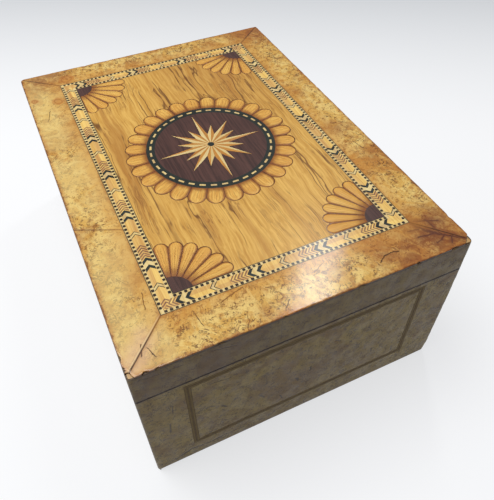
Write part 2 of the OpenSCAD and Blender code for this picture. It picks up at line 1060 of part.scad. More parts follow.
// Knuckles of a hinge: five, of which the body leaf has the first, third and fifth
knuckle_l = hinge_l / 5;

module knuckle(i) {
    translate([-hinge_l / 2 + i * knuckle_l + knuckle_gap / 2, 0, 0])
        rotate([0, 90, 0])
            cylinder(r = knuckle_r, h = knuckle_l - knuckle_gap);
}

// One leaf with its own knuckles, cut clear of the other leaf's
module hinge_leaf(up, own, other) {
    z0 = up > 0 ? shut_gap / 2 : -shut_gap / 2 - leaf_t;
    difference() {
        union() {
            difference() {
                translate([-hinge_l / 2, -leaf_w, z0])
                    cube([hinge_l, leaf_w, leaf_t]);
                for (i = other)
                    translate([-hinge_l / 2 + i * knuckle_l - knuckle_gap / 2,
                        -knuckle_r - knuckle_room, z0 - 1])
                        cube([knuckle_l + knuckle_gap, knuckle_r + knuckle_room + 1, leaf_t + 2]);
            }
            for (i = own)
                knuckle(i);
        }
        rotate([0, 90, 0])
            cylinder(r = pin_r + pin_fit, h = hinge_l + 2, center = true);
        for (x = leaf_screws)
            translate([x, -leaf_screw_y, up * shut_gap / 2])
                screw_sink(up);
    }
}

// Height of a screw's countersunk head, its driver slot and its blunt tip
screw_head_h = (head_d - screw_d) / 2;
slot_w = 0.5;
slot_deep = 0.4;
screw_tip_d = 0.4;

// The countersunk hole of a screw that is driven away from z = 0, upwards or downwards
module screw_sink(up) {
    mirror([0, 0, up > 0 ? 0 : 1]) {
        translate([0, 0, -1])
            cylinder(d = screw_d + let_in, h = 1 + max(leaf_t, plate_t, strike_t) + 1);
        cylinder(d1 = head_d, d2 = screw_d, h = screw_head_h);
    }
}

// A countersunk wood screw driven away from z = 0, with its slot
module wood_screw(up, length) {
    mirror([0, 0, up > 0 ? 0 : 1])
        difference() {
            union() {
                cylinder(d1 = head_d, d2 = screw_d, h = screw_head_h);
                translate([0, 0, screw_head_h - eps])
                    cylinder(d = screw_d, h = length - screw_head_h - screw_d + eps);
                translate([0, 0, length - screw_d])
                    cylinder(d1 = screw_d, d2 = screw_tip_d, h = screw_d);
            }
            cube([head_d + 1, slot_w, 2 * slot_deep], center = true);
        }
}

module hinge_at(s) {
    color(brass)
        translate([s * hinge_x, pin_y, pin_z])
            children();
}

module left_hinge_body_leaf() {
    hinge_at(-1)
        hinge_leaf(-1, [0, 2, 4], [1, 3]);
}

module right_hinge_body_leaf() {
    hinge_at(1)
        hinge_leaf(-1, [0, 2, 4], [1, 3]);
}

module left_hinge_lid_leaf() {
    hinge_at(-1)
        hinge_leaf(1, [1, 3], [0, 2, 4]);
}

module right_hinge_lid_leaf() {
    hinge_at(1)
        hinge_leaf(1, [1, 3], [0, 2, 4]);
}

// Each pin has a low head at both ends, just clear of the leaves.
module hinge_pins() {
    pin_l = hinge_l + knuckle_gap;
    color(brass)
        at_hinges()
            rotate([0, 90, 0]) {
                cylinder(r = pin_r, h = pin_l, center = true);
                for (s = [-1, 1])
                    translate([0, 0, s * (pin_l + pin_head_h) / 2])
                        cylinder(r = pin_head_r, h = pin_head_h, center = true);
            }
}

module body_hinge_screws() {
    color(brass)
        at_hinges()
            for (x = leaf_screws)
                translate([x, -leaf_screw_y, -shut_gap / 2])
                    wood_screw(-1, screw_l);
}

module lid_hinge_screws() {
    color(brass)
        at_hinges()
            for (x = leaf_screws)
                translate([x, -leaf_screw_y, shut_gap / 2])
                    wood_screw(1, screw_l);
}

// The lock. Its own frame has x along the box, y out through the front wall from the face
// of the lining and z up from the body rim.
wall_t = lining_t + board_t;
strike_w = plate_t + case_d + case_wall;
bolt_y = plate_t + (case_d - case_wall) / 2;

// Places of the screws in the plate's two flanges, clear of the rim plate and of its foot
flange_room = 4;
flange_x = (plate_l + case_l) / 4;
flange_z = [-flange_room - head_d / 2, flange_room - plate_h];

module in_lock() {
    translate([0, -well_y, body_h])
        rotate([0, 0, 180])
            children();
}

// A box in the lock's frame, by its half length and its ranges
module lock_block(hx, y0, y1, z0, z1) {
    translate([-hx, y0, z0])
        cube([2 * hx, y1 - y0, z1 - z0]);
}

// A keyhole seen from the front: a round hole with a slot below
module keyhole(r, w, drop) {
    circle(r);
    translate([-w / 2, -drop])
        square([w, drop]);
}

// The keyhole's round, the width of its slot, its reach, and the brass round it
key_r = 2.3;
key_slot = 2.2;
key_l = 6.5;
key_band = 1.4;

// The bolt's guide posts with their collars, the key post, and the fit of what slides
guide_r = 1;
collar_r = 1.6;
key_post_r = 1.1;
slide_fit = 0.1;
case_key_l = 5.5;

// Room round a staple in the rim plate, and the eye and foot of a staple
staple_room = 0.4;
eye_h = 4;
eye_w = bolt_t + 0.5;
foot_h = 1.4;
eye_fit = 0.5;

// Heights in the lock, from the body rim: the staple's foot and eye, then the bolt
staple_foot = shut_gap - staple_h;
eye_z0 = staple_foot + foot_h;
eye_z1 = eye_z0 + eye_h;
finger_z0 = eye_z0 + eye_fit;
finger_z1 = eye_z1 - eye_fit;
bar_h = 4.5;
bar_z1 = staple_foot - 1;
bar_z0 = bar_z1 - bar_h;
bolt_slot_z = (bar_z0 + bar_z1) / 2;

// Along the bolt: a hook's finger, short of its staple, the hook's neck and the bar. The
// staples stand where the bar's first hook meets them.
finger_x1 = -staple_t / 2 - eye_fit;
finger_x0 = finger_x1 - bolt_travel - 0.4;
neck_w = 3;
bar_end_room = 1.5;
bar_x0 = -case_l / 2 + case_end + bar_end_room;
staple_x = finger_x0 - neck_w - bar_x0;
bar_x1 = case_l / 2 - 2 * case_end - bolt_travel - eye_fit;

// The notch that the key turns against
key_notch_w = 4;
key_notch_h = 1.6;

// Outline of the escutcheon on the front, wider by grow for its seat
module escutcheon_outline(grow) {
    wide = key_band + grow;
    translate([0, body_h - key_drop])
        keyhole(key_r + wide, key_slot + 2 * wide, key_l + wide);
}

// Everything the lock cuts from the front board, rim facing and lining
module lock_cuts() {
    in_lock() {
        lock_block(plate_l / 2 + let_in, -1, plate_t, -plate_h - let_in, 1);
        lock_block(case_l / 2 + let_in, 0, plate_t + case_d, -case_h - let_in, 1);
        lock_block(plate_l / 2 + let_in, -1, strike_w + let_in, -strike_t, 1);
        for (x = [-flange_x, flange_x], z = flange_z)
            translate([x, 0, z])
                rotate([-90, 0, 0])
                    cylinder(d = screw_d + let_in, h = min(screw_l, wall_t) - 1);
        translate([0, wall_t + 1, -key_drop])
            rotate([90, 0, 0])
                linear_extrude(wall_t - plate_t - case_d + 2)
                    keyhole(key_r + let_in, key_slot + 2 * let_in, key_l + let_in);
    }
}

// Back plate and rim plate in one, with the bolt's guide posts and the post for the key
module lock_plate() {
    color(brass)
        in_lock()
            difference() {
                union() {
                    lock_block(plate_l / 2, 0, plate_t, -plate_h, 0);
                    lock_block(plate_l / 2, 0, strike_w, -strike_t, 0);
                    for (x = [-guide_x, guide_x]) {
                        lock_post([x, bolt_slot_z], collar_r, bolt_y - bolt_t / 2 - slide_fit);
                        lock_post([x, bolt_slot_z], guide_r, plate_t + case_d - case_wall);
                    }
                    lock_post([0, -key_drop], key_post_r, plate_t + case_d - slide_fit);
                }
                for (s = [-1, 1])
                    translate([s * staple_x, bolt_y, 0])
                        cube([staple_t + 2 * staple_room, staple_w + 2 * staple_room,
                            4 * strike_t], center = true);
                for (x = [-flange_x, flange_x], z = flange_z)
                    translate([x, 0, z])
                        rotate([-90, 0, 0])
                            screw_sink(1);
            }
}

// A round post on the back plate, rooted in the plate and reaching out to y1
module lock_post(at, r, y1) {
    translate([at[0], plate_t / 2, at[1]])
        rotate([-90, 0, 0])
            cylinder(r = r, h = y1 - plate_t / 2);
}

// The case is open towards the back plate and the rim plate.
module lock_case() {
    color(brass)
        in_lock()
            difference() {
                lock_block(case_l / 2, plate_t, plate_t + case_d, -case_h, -strike_t);
                lock_block(case_l / 2 - case_end, plate_t - 1, plate_t + case_d - case_wall,
                    -case_h + case_wall, 0);
                translate([0, plate_t + case_d + 1, -key_drop])
                    rotate([90, 0, 0])
                        linear_extrude(case_wall + 2)
                            keyhole(key_r, key_slot, case_key_l);
            }
}

// The bolt: a bar with two hooks that enter the staples' eyes, guide slots for the posts
// and a notch that the key turns against. It is drawn unlocked and slides to -x in the
// lock's frame, which is the right of the box seen from above with the front near.
module lock_bolt() {
    color(brass)
        in_lock()
            mirror([1, 0, 0])
                translate([0, bolt_y + bolt_t / 2, 0])
                    rotate([90, 0, 0])
                        linear_extrude(bolt_t)
                            difference() {
                                union() {
                                    translate([bar_x0, bar_z0])
                                        square([bar_x1 - bar_x0, bar_z1 - bar_z0]);
                                    for (s = [-1, 1])
                                        translate([s * staple_x, 0]) {
                                            translate([finger_x0 - neck_w, bolt_slot_z])
                                                square([neck_w, finger_z1 - bolt_slot_z]);
                                            translate([finger_x0 - eps, finger_z0])
                                                square([finger_x1 - finger_x0 + eps,
                                                    finger_z1 - finger_z0]);
                                        }
                                }
                                for (x = [-guide_x, guide_x])
                                    translate([x, bolt_slot_z])
                                        guide_slot();
                                translate([-key_notch_w / 2, bar_z0 - eps])
                                    square([key_notch_w, key_notch_h + eps]);
                            }
}

// A slot with round ends that leaves the post its travel
module guide_slot() {
    r = guide_r + slide_fit;
    circle(r);
    translate([-bolt_travel, 0])
        circle(r);
    translate([-bolt_travel, -r])
        square([bolt_travel, 2 * r]);
}

// A bent strip on the floor of the case, whose end lies just under the bolt
spring_t = 0.6;
spring_w = 2;
spring_gap = 0.3;
spring_foot_l = 6.5;
spring_slope_l = 6;
spring_curl = 1.5;

module lock_spring() {
    floor_z = -case_h + case_wall;
    tip_z = bar_z0 - spring_gap;
    end_x = case_l / 2 - 2 * case_end;
    bend_x = end_x - spring_foot_l;
    tip_x = bend_x - spring_slope_l;
    curl_x = tip_x - spring_curl;
    color(steel)
        in_lock()
            translate([0, bolt_y + spring_w / 2, 0])
                rotate([90, 0, 0])
                    linear_extrude(spring_w)
                        polygon([[end_x, floor_z], [bend_x, floor_z], [tip_x, tip_z - spring_t],
                            [curl_x, tip_z - 2 * spring_t], [curl_x, tip_z - spring_t],
                            [tip_x, tip_z], [bend_x, floor_z + spring_t], [end_x, floor_z + spring_t]]);
}

module lock_screws() {
    color(brass)
        in_lock()
            for (x = [-flange_x, flange_x], z = flange_z)
                translate([x, 0, z])
                    rotate([-90, 0, 0])
                        wood_screw(1, min(screw_l, wall_t) - 1);
}

// What the link plate cuts from the front of the lid
module link_cuts() {
    in_lock() {
        lock_block(plate_l / 2 + let_in, -1, strike_w + let_in, shut_gap - 1, shut_gap + strike_t);
        for (x = [-flange_x, flange_x])
            translate([x, strike_w / 2, 0])
                cylinder(d = screw_d + let_in, h = screw_l + shut_gap);
    }
}

// The link plate in the lid rim, with its two staples
module link_plate() {
    color(brass)
        in_lock()
            difference() {
                union() {
                    lock_block(plate_l / 2, 0, strike_w, shut_gap, shut_gap + strike_t);
                    for (s = [-1, 1])
                        translate([s * staple_x - staple_t / 2, bolt_y - staple_w / 2, staple_foot])
                            cube([staple_t, staple_w, staple_h + strike_t / 2]);
                }
                for (s = [-1, 1])
                    translate([s * staple_x - staple_t, bolt_y - eye_w / 2, eye_z0])
                        cube([2 * staple_t, eye_w, eye_h]);
                for (x = [-flange_x, flange_x])
                    translate([x, strike_w / 2, shut_gap])
                        screw_sink(1);
            }
}

module link_screws() {
    color(brass)
        in_lock()
            for (x = [-flange_x, flange_x])
                translate([x, strike_w / 2, shut_gap])
                    wood_screw(1, screw_l);
}

// The escutcheon lies flush in the front veneer.
module escutcheon() {
    color(brass)
        on_side(FRONT)
            difference() {
                escutcheon_outline(0);
                translate([0, body_h - key_drop])
                    keyhole(key_r, key_slot, key_l);
            }
}

body_front();
body_back();
body_left();
body_right();
bottom_board();
body_rim();
body_veneer_front();
body_veneer_back();
body_veneer_left();
body_veneer_right();
border_black();
border_pale();
body_lining();
lid_front();
lid_back();
lid_left();
lid_right();
lid_board();
lid_rim();
lid_veneer_front();
lid_veneer_back();
lid_veneer_left();
lid_veneer_right();
burr_front();
burr_back();
burr_left();
burr_right();
lid_lining();
banding_lines();
banding_squares();
banding_cream();
chevrons_black();
chevrons_brown();
chevrons_gold();
panel_ground();
roundel_ground();
ring_black();
ring_dashes();
star_light();
star_shade();
star_button();
wreath_petals();
fan_petals();
petal_beds();
fan_hubs();
left_hinge_body_leaf();
left_hinge_lid_leaf();
right_hinge_body_leaf();
right_hinge_lid_leaf();
hinge_pins();
body_hinge_screws();
lid_hinge_screws();
lock_plate();
lock_case();
lock_bolt();
lock_spring();
lock_screws();
link_plate();
link_screws();
escutcheon();
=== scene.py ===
# %% [markdown]
# # A veneered keepsake box with a marquetry lid
# The box is a pine carcass covered with sawn burr veneer. Its lid carries a mitred burr
# frame, a banding of squares and chevrons, and a carved star medallion on golden wood.
# Every board, hinge and inlay is already here as a solid, in metres, in its own place.
# What is left for this script is what makes it look old and real: worn edges, pieces cut
# and laid by hand, and the figure of each wood.

# %% Load the construction
import math
import random
import bmesh
import bpy
from mathutils import Matrix, Vector, noise


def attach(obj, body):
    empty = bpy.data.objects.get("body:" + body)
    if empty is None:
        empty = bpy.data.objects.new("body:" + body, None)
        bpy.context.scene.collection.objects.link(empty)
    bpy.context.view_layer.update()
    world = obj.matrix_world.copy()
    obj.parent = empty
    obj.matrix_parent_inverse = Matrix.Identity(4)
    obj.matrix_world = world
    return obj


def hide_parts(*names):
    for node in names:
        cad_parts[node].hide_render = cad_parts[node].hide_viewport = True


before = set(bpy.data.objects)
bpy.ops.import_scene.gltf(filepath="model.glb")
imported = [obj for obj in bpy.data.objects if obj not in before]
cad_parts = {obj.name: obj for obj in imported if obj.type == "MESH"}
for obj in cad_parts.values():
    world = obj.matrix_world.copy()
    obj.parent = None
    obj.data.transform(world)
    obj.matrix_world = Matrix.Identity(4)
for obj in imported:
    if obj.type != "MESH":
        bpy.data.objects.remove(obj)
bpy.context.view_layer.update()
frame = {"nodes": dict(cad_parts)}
parts = frame["nodes"]
MM = 0.001

# %% [markdown]
# ## Sizes of the box
# The origin is the middle of the underside. X runs to the right-hand end, Y to the
# hinges, Z up. The sizes below are those of the solids, in millimetres, and both the
# finishes and the pieces that are made here use them.

# %% Sizes of the box
HALF = (165.0, 118.5)           # from the middle to the outer faces, along x and y
SKIN = 1.2                      # thickness of the veneers
BODY_TOP, LID_FOOT, INLAY, TOP = 109.3, 109.6, 136.3, 137.5
SEAM = (BODY_TOP + LID_FOOT) / 2
BAND = (-140.0, 133.0, -88.0, 90.0)     # outer edges of the banding: left, right, front, back
MIDDLE = ((BAND[0] + BAND[1]) / 2, (BAND[2] + BAND[3]) / 2)
print("middle of the inlay:", MIDDLE, "seam at", SEAM)

# %% [markdown]
# ## The camera
# The photograph was taken from above the right-hand end, close to the box, so the edges
# converge strongly. A camera is a place and three directions. Writing the place, the
# direction of view and the direction to the right fixes all of it, and the lens follows
# from how much of the scene the short side of the sensor takes in.

# %% Camera
LENS, CAMERA_PLACE = 38.4, (0.3156, -0.1171, 0.3975)
camera = bpy.data.objects.new("camera", bpy.data.cameras.new("camera"))
bpy.context.scene.collection.objects.link(camera)
bpy.context.scene.camera = camera
camera.data.sensor_fit = "VERTICAL"
camera.data.sensor_height = camera.data.sensor_width = 36
camera.data.lens = LENS
forward = Vector((-0.59858, 0.27926, -0.75081)).normalized()
right = Vector((0.42647, 0.90449, -0.00358))
right = (right - right.dot(forward) * forward).normalized()
turned = Matrix((right, right.cross(forward), -forward)).transposed()
camera.matrix_world = Matrix.Translation(CAMERA_PLACE) @ turned.to_4x4()
bpy.context.scene.view_settings.view_transform = "Standard"
print("lens", camera.data.lens, "mm")

# %% [markdown]
# ## Short words for shader nodes
# A wood is a stack of patterns: clouds of colour, streaks, flecks, stains. Written out
# node by node such a stack gets long, so this class keeps one material open and gives
# each kind of node a short word. Every word returns the socket that comes out of it, so
# patterns nest like sums. All patterns read Object coordinates, turned into millimetres:
# a scale of 0.1 is then a feature about ten millimetres wide.

# %% A class that builds materials


def srgb(red, green, blue):
    """A colour given as it looks on the screen, 0 to 255, as the linear colour of a socket."""
    linear = [(c / 255 / 12.92) if c < 10.3 else ((c / 255 + 0.055) / 1.055) ** 2.4
              for c in (red, green, blue)]
    return (*linear, 1)


def new_node(tree, kind, inputs, settings):
    """A node with its settings. An input is a value, or the socket that feeds it."""
    node = tree.nodes.new(kind)
    for name, value in settings.items():
        setattr(node, name, value)
    for key, value in dict(inputs).items():
        if isinstance(value, bpy.types.NodeSocket):
            tree.links.new(value, node.inputs[key])
        else:
            node.inputs[key].default_value = value
    return node


class Finish:
    def __init__(self, name):
        self.material = bpy.data.materials.new(name)
        self.material.use_nodes = True
        self.tree = self.material.node_tree
        self.tree.nodes.clear()
        place = self.add("ShaderNodeTexCoord").outputs["Object"]
        self.place = self.vector("SCALE", place, scale=1000)
        self.x, self.y, self.z = self.add("ShaderNodeSeparateXYZ", {0: self.place}).outputs

    def add(self, kind, inputs=(), **settings):
        return new_node(self.tree, kind, inputs, settings)

    def math(self, kind, a, b=0.0, c=0.0, clamp=False):
        return self.add("ShaderNodeMath", {0: a, 1: b, 2: c}, operation=kind,
                        use_clamp=clamp).outputs[0]

    def vector(self, kind, a, b=(0, 0, 0), scale=1.0):
        node = self.add("ShaderNodeVectorMath", {0: a, 1: b, 3: scale}, operation=kind)
        return node.outputs[1 if kind in ("LENGTH", "DISTANCE", "DOT_PRODUCT") else 0]

    def stretch(self, size, shift=(0, 0, 0), turn=(0, 0, 0), vector=None):
        """The place, turned and scaled, to draw a pattern out along one direction."""
        return self.add("ShaderNodeMapping", {0: vector or self.place, 1: shift, 2: turn,
                                              3: size}).outputs[0]

    def clouds(self, scale, detail=3.0, rough=0.5, swirl=0.0, vector=None, colour=False):
        node = self.add("ShaderNodeTexNoise", {
            "Vector": vector or self.place, "Scale": scale, "Detail": detail,
            "Roughness": rough, "Distortion": swirl})
        return node.outputs["Color" if colour else 0]

    def cells(self, scale, vector):
        """The distance to the nearest of many scattered points."""
        return self.add("ShaderNodeTexVoronoi", {
            "Vector": vector, "Scale": scale}).outputs["Distance"]

    def step(self, value, low, high, top=1.0, bottom=0.0):
        """From bottom to top while the value goes smoothly from low to high."""
        if low > high:
            low, high, top, bottom = high, low, bottom, top
        return self.add("ShaderNodeMapRange", {0: value, 1: low, 2: high, 3: bottom, 4: top},
                        interpolation_type="SMOOTHSTEP").outputs[0]

    def ridge(self, value, width):
        """1 where the value is a half, falling to 0 at the width: a thin wandering line."""
        off = self.math("ABSOLUTE", self.math("SUBTRACT", value, 0.5))
        return self.step(off, width, 0.0)

    def read(self, name):
        """A number that the piece's own mesh carries."""
        return self.add("ShaderNodeAttribute", attribute_name=name).outputs["Fac"]

    def mix(self, share, a, b):
        node = self.add("ShaderNodeMix", {0: share, 6: a, 7: b}, data_type="RGBA",
                        clamp_factor=True)
        return node.outputs[2]

    def over(self, colour, *shares):
        """Lays a colour over those so far, as strongly as the shares' product says."""
        self.colour = self.mix(self.times(*shares), self.colour, colour)

    def times(self, *values):
        total = values[0]
        for value in values[1:]:
            total = self.math("MULTIPLY", total, value)
        return total

    def most(self, *values):
        total = values[0]
        for value in values[1:]:
            total = self.math("MAXIMUM", total, value)
        return total

    def wander(self, scale, size, vector=None):
        """The place pushed about by soft noise, to make straight patterns irregular."""
        vector = vector or self.place
        push = self.vector("SUBTRACT", self.clouds(scale, 2, colour=True, vector=vector),
                           (0.5, 0.5, 0.5))
        return self.vector("ADD", vector, self.vector("SCALE", push, scale=2 * size))

    def flatten(self, vector, axis, value):
        """The place pressed flat onto a face, so that marks keep to the face."""
        parts = list(self.add("ShaderNodeSeparateXYZ", {0: vector}).outputs)
        parts[axis] = value
        return self.add("ShaderNodeCombineXYZ", dict(enumerate(parts))).outputs[0]

    def near(self, a, b, width, vector=None, soft=0.6):
        """1 on a line from point a to point b, falling to 0 at its width."""
        vector = vector or self.place
        a, b = Vector(a), Vector(b)
        along = self.vector("DOT_PRODUCT", self.vector("SUBTRACT", vector, a), b - a)
        share = self.math("DIVIDE", along, (b - a).length_squared, clamp=True)
        foot = self.vector("ADD", self.vector("SCALE", tuple(b - a), scale=share), a)
        gap = self.vector("DISTANCE", vector, foot)
        return self.step(gap, width * soft, width, 0.0, 1.0)

    def shine(self, roughness, bump=None, height=0.0, **extra):
        """Ends the material: one surface shader, with a bump of the given height in mm."""
        values = {"Base Color": self.colour, "Roughness": roughness, **extra}
        if bump is not None:
            values["Normal"] = self.add("ShaderNodeBump", {
                "Strength": 1.0, "Distance": height * MM, "Height": bump}).outputs[0]
        shader = self.add("ShaderNodeBsdfPrincipled", values)
        self.add("ShaderNodeOutputMaterial", {0: shader.outputs[0]})
        return self.material


print("materials are built with", [word for word in dir(Finish) if word[0] != "_"])

# %% [markdown]
# ## The floor, the sky and the lamps
# The box stands on plain pale paper under soft light. A big dim panel above gives the
# even light of a room, and a small bright one far behind stands for the window whose
# reflection whitens the varnish near the box's right-hand end. The paper is painted a
# little greyer away from the camera, a painted shade for the light that falls off there.
# Rays that carry light from the paper to the box see a darker paper, so that the near end
# stays in the shade as it does in the photograph.

# %% Floor
VARNISH = {"Coat Weight": 0.6, "Coat Roughness": 0.16, "Coat IOR": 1.5,
           "Specular IOR Level": 0.2}


def sheet(name, corners, faces, material, body=None):
    """A mesh object in millimetres from corners and faces, with one material."""
    mesh = bpy.data.meshes.new(name)
    mesh.from_pydata([Vector(corner) * MM for corner in corners], [], faces)
    if material:
        mesh.materials.append(material)
    piece = bpy.data.objects.new(name, mesh)
    bpy.context.scene.collection.objects.link(piece)
    if body:
        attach(piece, body)
    return piece


def carry(piece, name, values):
    """Gives each point of a piece's mesh a number, for a material or a tree to read."""
    piece.data.attributes.new(name, "FLOAT", "POINT").data.foreach_set("value", values)


# Painted shade: the paper's colour is made greyer away from the camera, standing for light that
# falls off there.
PAPER_SHADE_NEAR, PAPER_SHADE_FAR = 150, 900        # mm over which the paper goes greyer
paper = Finish("floor_paper")
away = paper.math("ADD", paper.times(paper.x, -0.9), paper.times(paper.y, 0.45))
pale = paper.mix(paper.step(away, PAPER_SHADE_NEAR, PAPER_SHADE_FAR), srgb(250, 251, 253),
                 srgb(190, 194, 199))
ray = paper.add("ShaderNodeLightPath")
seen = paper.most(ray.outputs["Is Camera Ray"], ray.outputs["Is Glossy Ray"],
                  ray.outputs["Is Transmission Ray"])
BLACK = (0, 0, 0, 1)
lit, glow = paper.mix(0.34, BLACK, pale), paper.mix(0.7, BLACK, pale)
paper.colour = paper.mix(seen, srgb(120, 120, 122), lit)
paper.shine(0.9, paper.clouds(0.4, 3), 0.02, **{
    "Specular IOR Level": 0.0, "Emission Color": glow, "Emission Strength": seen})
FLOOR = 9000
floor = sheet("floor", [(-FLOOR, -FLOOR, 0), (FLOOR, -FLOOR, 0), (FLOOR, FLOOR, 0),
                        (-FLOOR, FLOOR, 0)], [(0, 1, 2, 3)], paper.material)
print("floor", 2 * FLOOR * MM, "m square")

# %% Sky and lamps
SKY, WALL = 0.22, 0.72          # strength for the light on the box, and as it is seen
world = bpy.data.worlds.new("room")
bpy.context.scene.world = world
world.use_nodes = True
# The camera sees a pale wall, and the box gets only a little light from it
tree = world.node_tree
ray = tree.nodes.new("ShaderNodeLightPath")
level = tree.nodes.new("ShaderNodeMapRange")
level.inputs["To Min"].default_value, level.inputs["To Max"].default_value = SKY, WALL
tree.links.new(ray.outputs["Is Camera Ray"], level.inputs["Value"])
tree.nodes["Background"].inputs[0].default_value = srgb(250, 250, 252)
tree.links.new(level.outputs[0], tree.nodes["Background"].inputs[1])


def lamp(name, place, target, size, power):
    data = bpy.data.lights.new(name, "AREA")
    data.shape = "RECTANGLE"
    data.size, data.size_y = size
    data.energy = power
    light = bpy.data.objects.new(name, data)
    light.location = place
    light.rotation_mode = "QUATERNION"
    aim = Vector(target) - Vector(place)
    light.rotation_quaternion = aim.to_track_quat("-Z", "Y")
    bpy.context.scene.collection.objects.link(light)
    print(name, size, "m,", power, "W")


lamp("ceiling_panel", place=(-0.2, -0.45, 1.35), target=(0, 0, 0.1), size=(0.9, 0.9),
     power=15)
# This lamp stands where the top, as a mirror, throws it from the right strip to the camera
lamp("window", place=(-0.451, 0.456, 1.074), target=(0.149, 0.0075, 0.1375),
     size=(0.12, 0.3), power=1.7)

# %% [markdown]
# ## Burr veneer
# Burr is cut from a knotty growth, where the grain has no direction. Its figure is made
# of soft clouds from gold to amber, swirling lines, clustered dark flecks, dots and the
# rings of buds that never grew. Each of these is one layer of noise with its own scale.
# Every sheet of veneer carries a number, and the number shifts the pattern, so that the
# figure breaks off at the joints as it does where two real sheets meet.

# %% Burr figure


def burr(f, pale, gold, amber, rust, dark):
    """Lays the colours of burr veneer on a finish, and returns their relief."""
    shift = f.vector("SCALE", (37.3, 11.9, 5.1), scale=f.read("sheet"))
    spot = f.vector("ADD", f.place, shift)
    cloud = f.clouds(0.06, 5, 0.65, 1.5, spot)
    f.colour = f.mix(f.step(cloud, 0.42, 0.58), gold, pale)
    patch = f.clouds(0.019, 5, 0.65, 1.0, spot)
    f.over(amber, f.step(patch, 0.5, 0.64, 0.9))
    mottle = f.clouds(0.32, 6, 0.72, 1.8, spot)
    f.over(amber, f.step(mottle, 0.5, 0.7, 0.65))
    f.over(pale, f.step(mottle, 0.46, 0.3, 0.6))
    crowd = f.step(f.clouds(0.045, 4, 0.6, 0.8, spot), 0.45, 0.58)
    smudge = f.times(f.step(f.clouds(0.13, 5, 0.7, 1.4, spot), 0.5, 0.62), crowd)
    f.over(rust, smudge, 0.6)
    curl = f.ridge(f.clouds(0.085, 4, 0.6, 3.2, spot), 0.035)
    f.over(rust, curl, f.step(patch, 0.4, 0.6), 0.4)
    bent = f.ridge(f.clouds(0.13, 3, 0.55, 1.8, spot), 0.05)
    stroke = f.times(bent, f.step(f.clouds(0.15, 2, 0.5, 0, spot), 0.47, 0.53),
                     f.math("ADD", 0.25, f.times(crowd, 0.75)))
    f.over(dark, stroke)
    short = f.times(f.ridge(f.clouds(0.28, 2, 0.5, 1.5, spot), 0.09),
                    f.step(f.clouds(0.32, 2, 0.5, 0, spot), 0.53, 0.59))
    f.over(dark, short, 0.8)
    grainy = f.step(f.clouds(1.1, 4, 0.75, 0.8, spot), 0.54, 0.68)
    f.over(rust, grainy, 0.45)
    dot = f.times(f.step(f.cells(0.34, f.wander(0.4, 0.5, spot)), 0.17, 0.1),
                  f.step(f.clouds(0.09, 2, 0.5, 0, spot), 0.42, 0.5))
    f.over(dark, dot, 0.6)
    bud = f.cells(0.1, f.wander(0.25, 1.6, spot))
    f.over(amber, f.step(bud, 0.28, 0.14), 0.5)
    ring = f.ridge(f.math("ADD", bud, 0.36), 0.02)
    f.over(dark, f.most(ring, f.step(bud, 0.07, 0.04)), 0.6)
    return f.math("SUBTRACT", f.times(mottle, 0.6), f.most(stroke, short, dot))


# %% [markdown]
# The lid's frame has a history as well. Dirt has settled in the mitres, the handled edge
# has gone red-brown, the varnish has darkened along the banding and in some corners, and
# near the right-hand end the veneer has cracked. These marks have places, so they are
# lines and spots measured from the middle of the box, roughened by noise.

# %% Burr of the lid
lid_wood = Finish("burr_lid")
f = lid_wood
RUST, UMBER = srgb(136, 76, 34), srgb(62, 34, 20)
relief = burr(f, srgb(238, 204, 122), srgb(220, 174, 86), srgb(194, 132, 52),
              srgb(150, 88, 40), srgb(84, 44, 20))
fresh = f.times(f.step(f.y, -84, -90), f.step(f.clouds(0.03, 3), 0.3, 0.55))
f.over(srgb(232, 204, 132), fresh, 0.5)
FACE, UNDER = 137.2, 137.0      # the level that marks are pressed to, and just under it
torn = f.flatten(f.wander(0.35, 0.9), 2, FACE)
drift = f.flatten(f.wander(0.06, 5.0, torn), 2, FACE)
joint_way = f.flatten(f.wander(0.25, 0.12), 2, FACE)
# Redder and darker regions: place, radius, strength
STAINS = [(-160, 112, 44, 0.85), (-150, 60, 16, 0.35), (-155, -96, 32, 0.7),
          (150, 104, 42, 1.0), (148, 92, 34, 1.0), (160, 78, 34, 0.8),
          (148, 62, 26, 0.6), (162, 100, 30, 1.0), (160, 60, 12, 0.4), (-40, 96, 12, 0.5),
          (20, 100, 16, 0.55), (60, 108, 14, 0.35), (-60, -104, 20, 0.25),
          (-150, -20, 12, 0.45), (-148, 8, 10, 0.35), (158, -30, 10, 0.35),
          (50, -112, 12, 0.4), (100, -96, 10, 0.3), (148, 22, 9, 0.35)]
stain = f.most(*[f.times(f.near((x, y, UNDER), (x + 0.1, y, UNDER), radius, drift, 0.1),
                         strength) for x, y, radius, strength in STAINS])
blotch = f.times(stain, f.step(f.clouds(0.11, 5, 0.65, 1.2), 0.36, 0.6))
f.over(srgb(168, 100, 44), stain, 0.6)
f.over(RUST, blotch, 0.85)
# Dark branches that run from the banding to the back right corner, and the cracks
BRANCHES = [((133, 90), (150, 101), 1.5), ((150, 101), (163, 116), 1.2),
            ((136, 101), (150, 103), 1.0), ((146, 99), (147, 88), 0.9),
            ((152, 104), (155, 94), 0.8), ((134, 94), (141, 110), 0.8),
            ((140, 92), (139, 84), 0.8), ((156, 108), (162, 103), 0.9)]
CRACKS = [((151.5, 68), (150, 63), 0.42), ((150, 63), (151, 57), 0.46),
          ((151, 57), (154.4, 52), 0.36),
          ((134.5, -36), (139.2, -52), 0.45), ((147, -104.5), (154, -106.5), 0.4),
          ((150, -102), (158, -99), 0.25), ((139, 18), (143, 10), 0.3),
          ((112, -93), (125, -95), 0.3), ((-150, 30), (-158, 34), 0.3),
          ((40, 104), (52, 107), 0.25), ((-90, -108), (-104, -104), 0.25),
          ((138, -70), (150, -68), 0.25), ((155, -14), (161, -20), 0.25)]


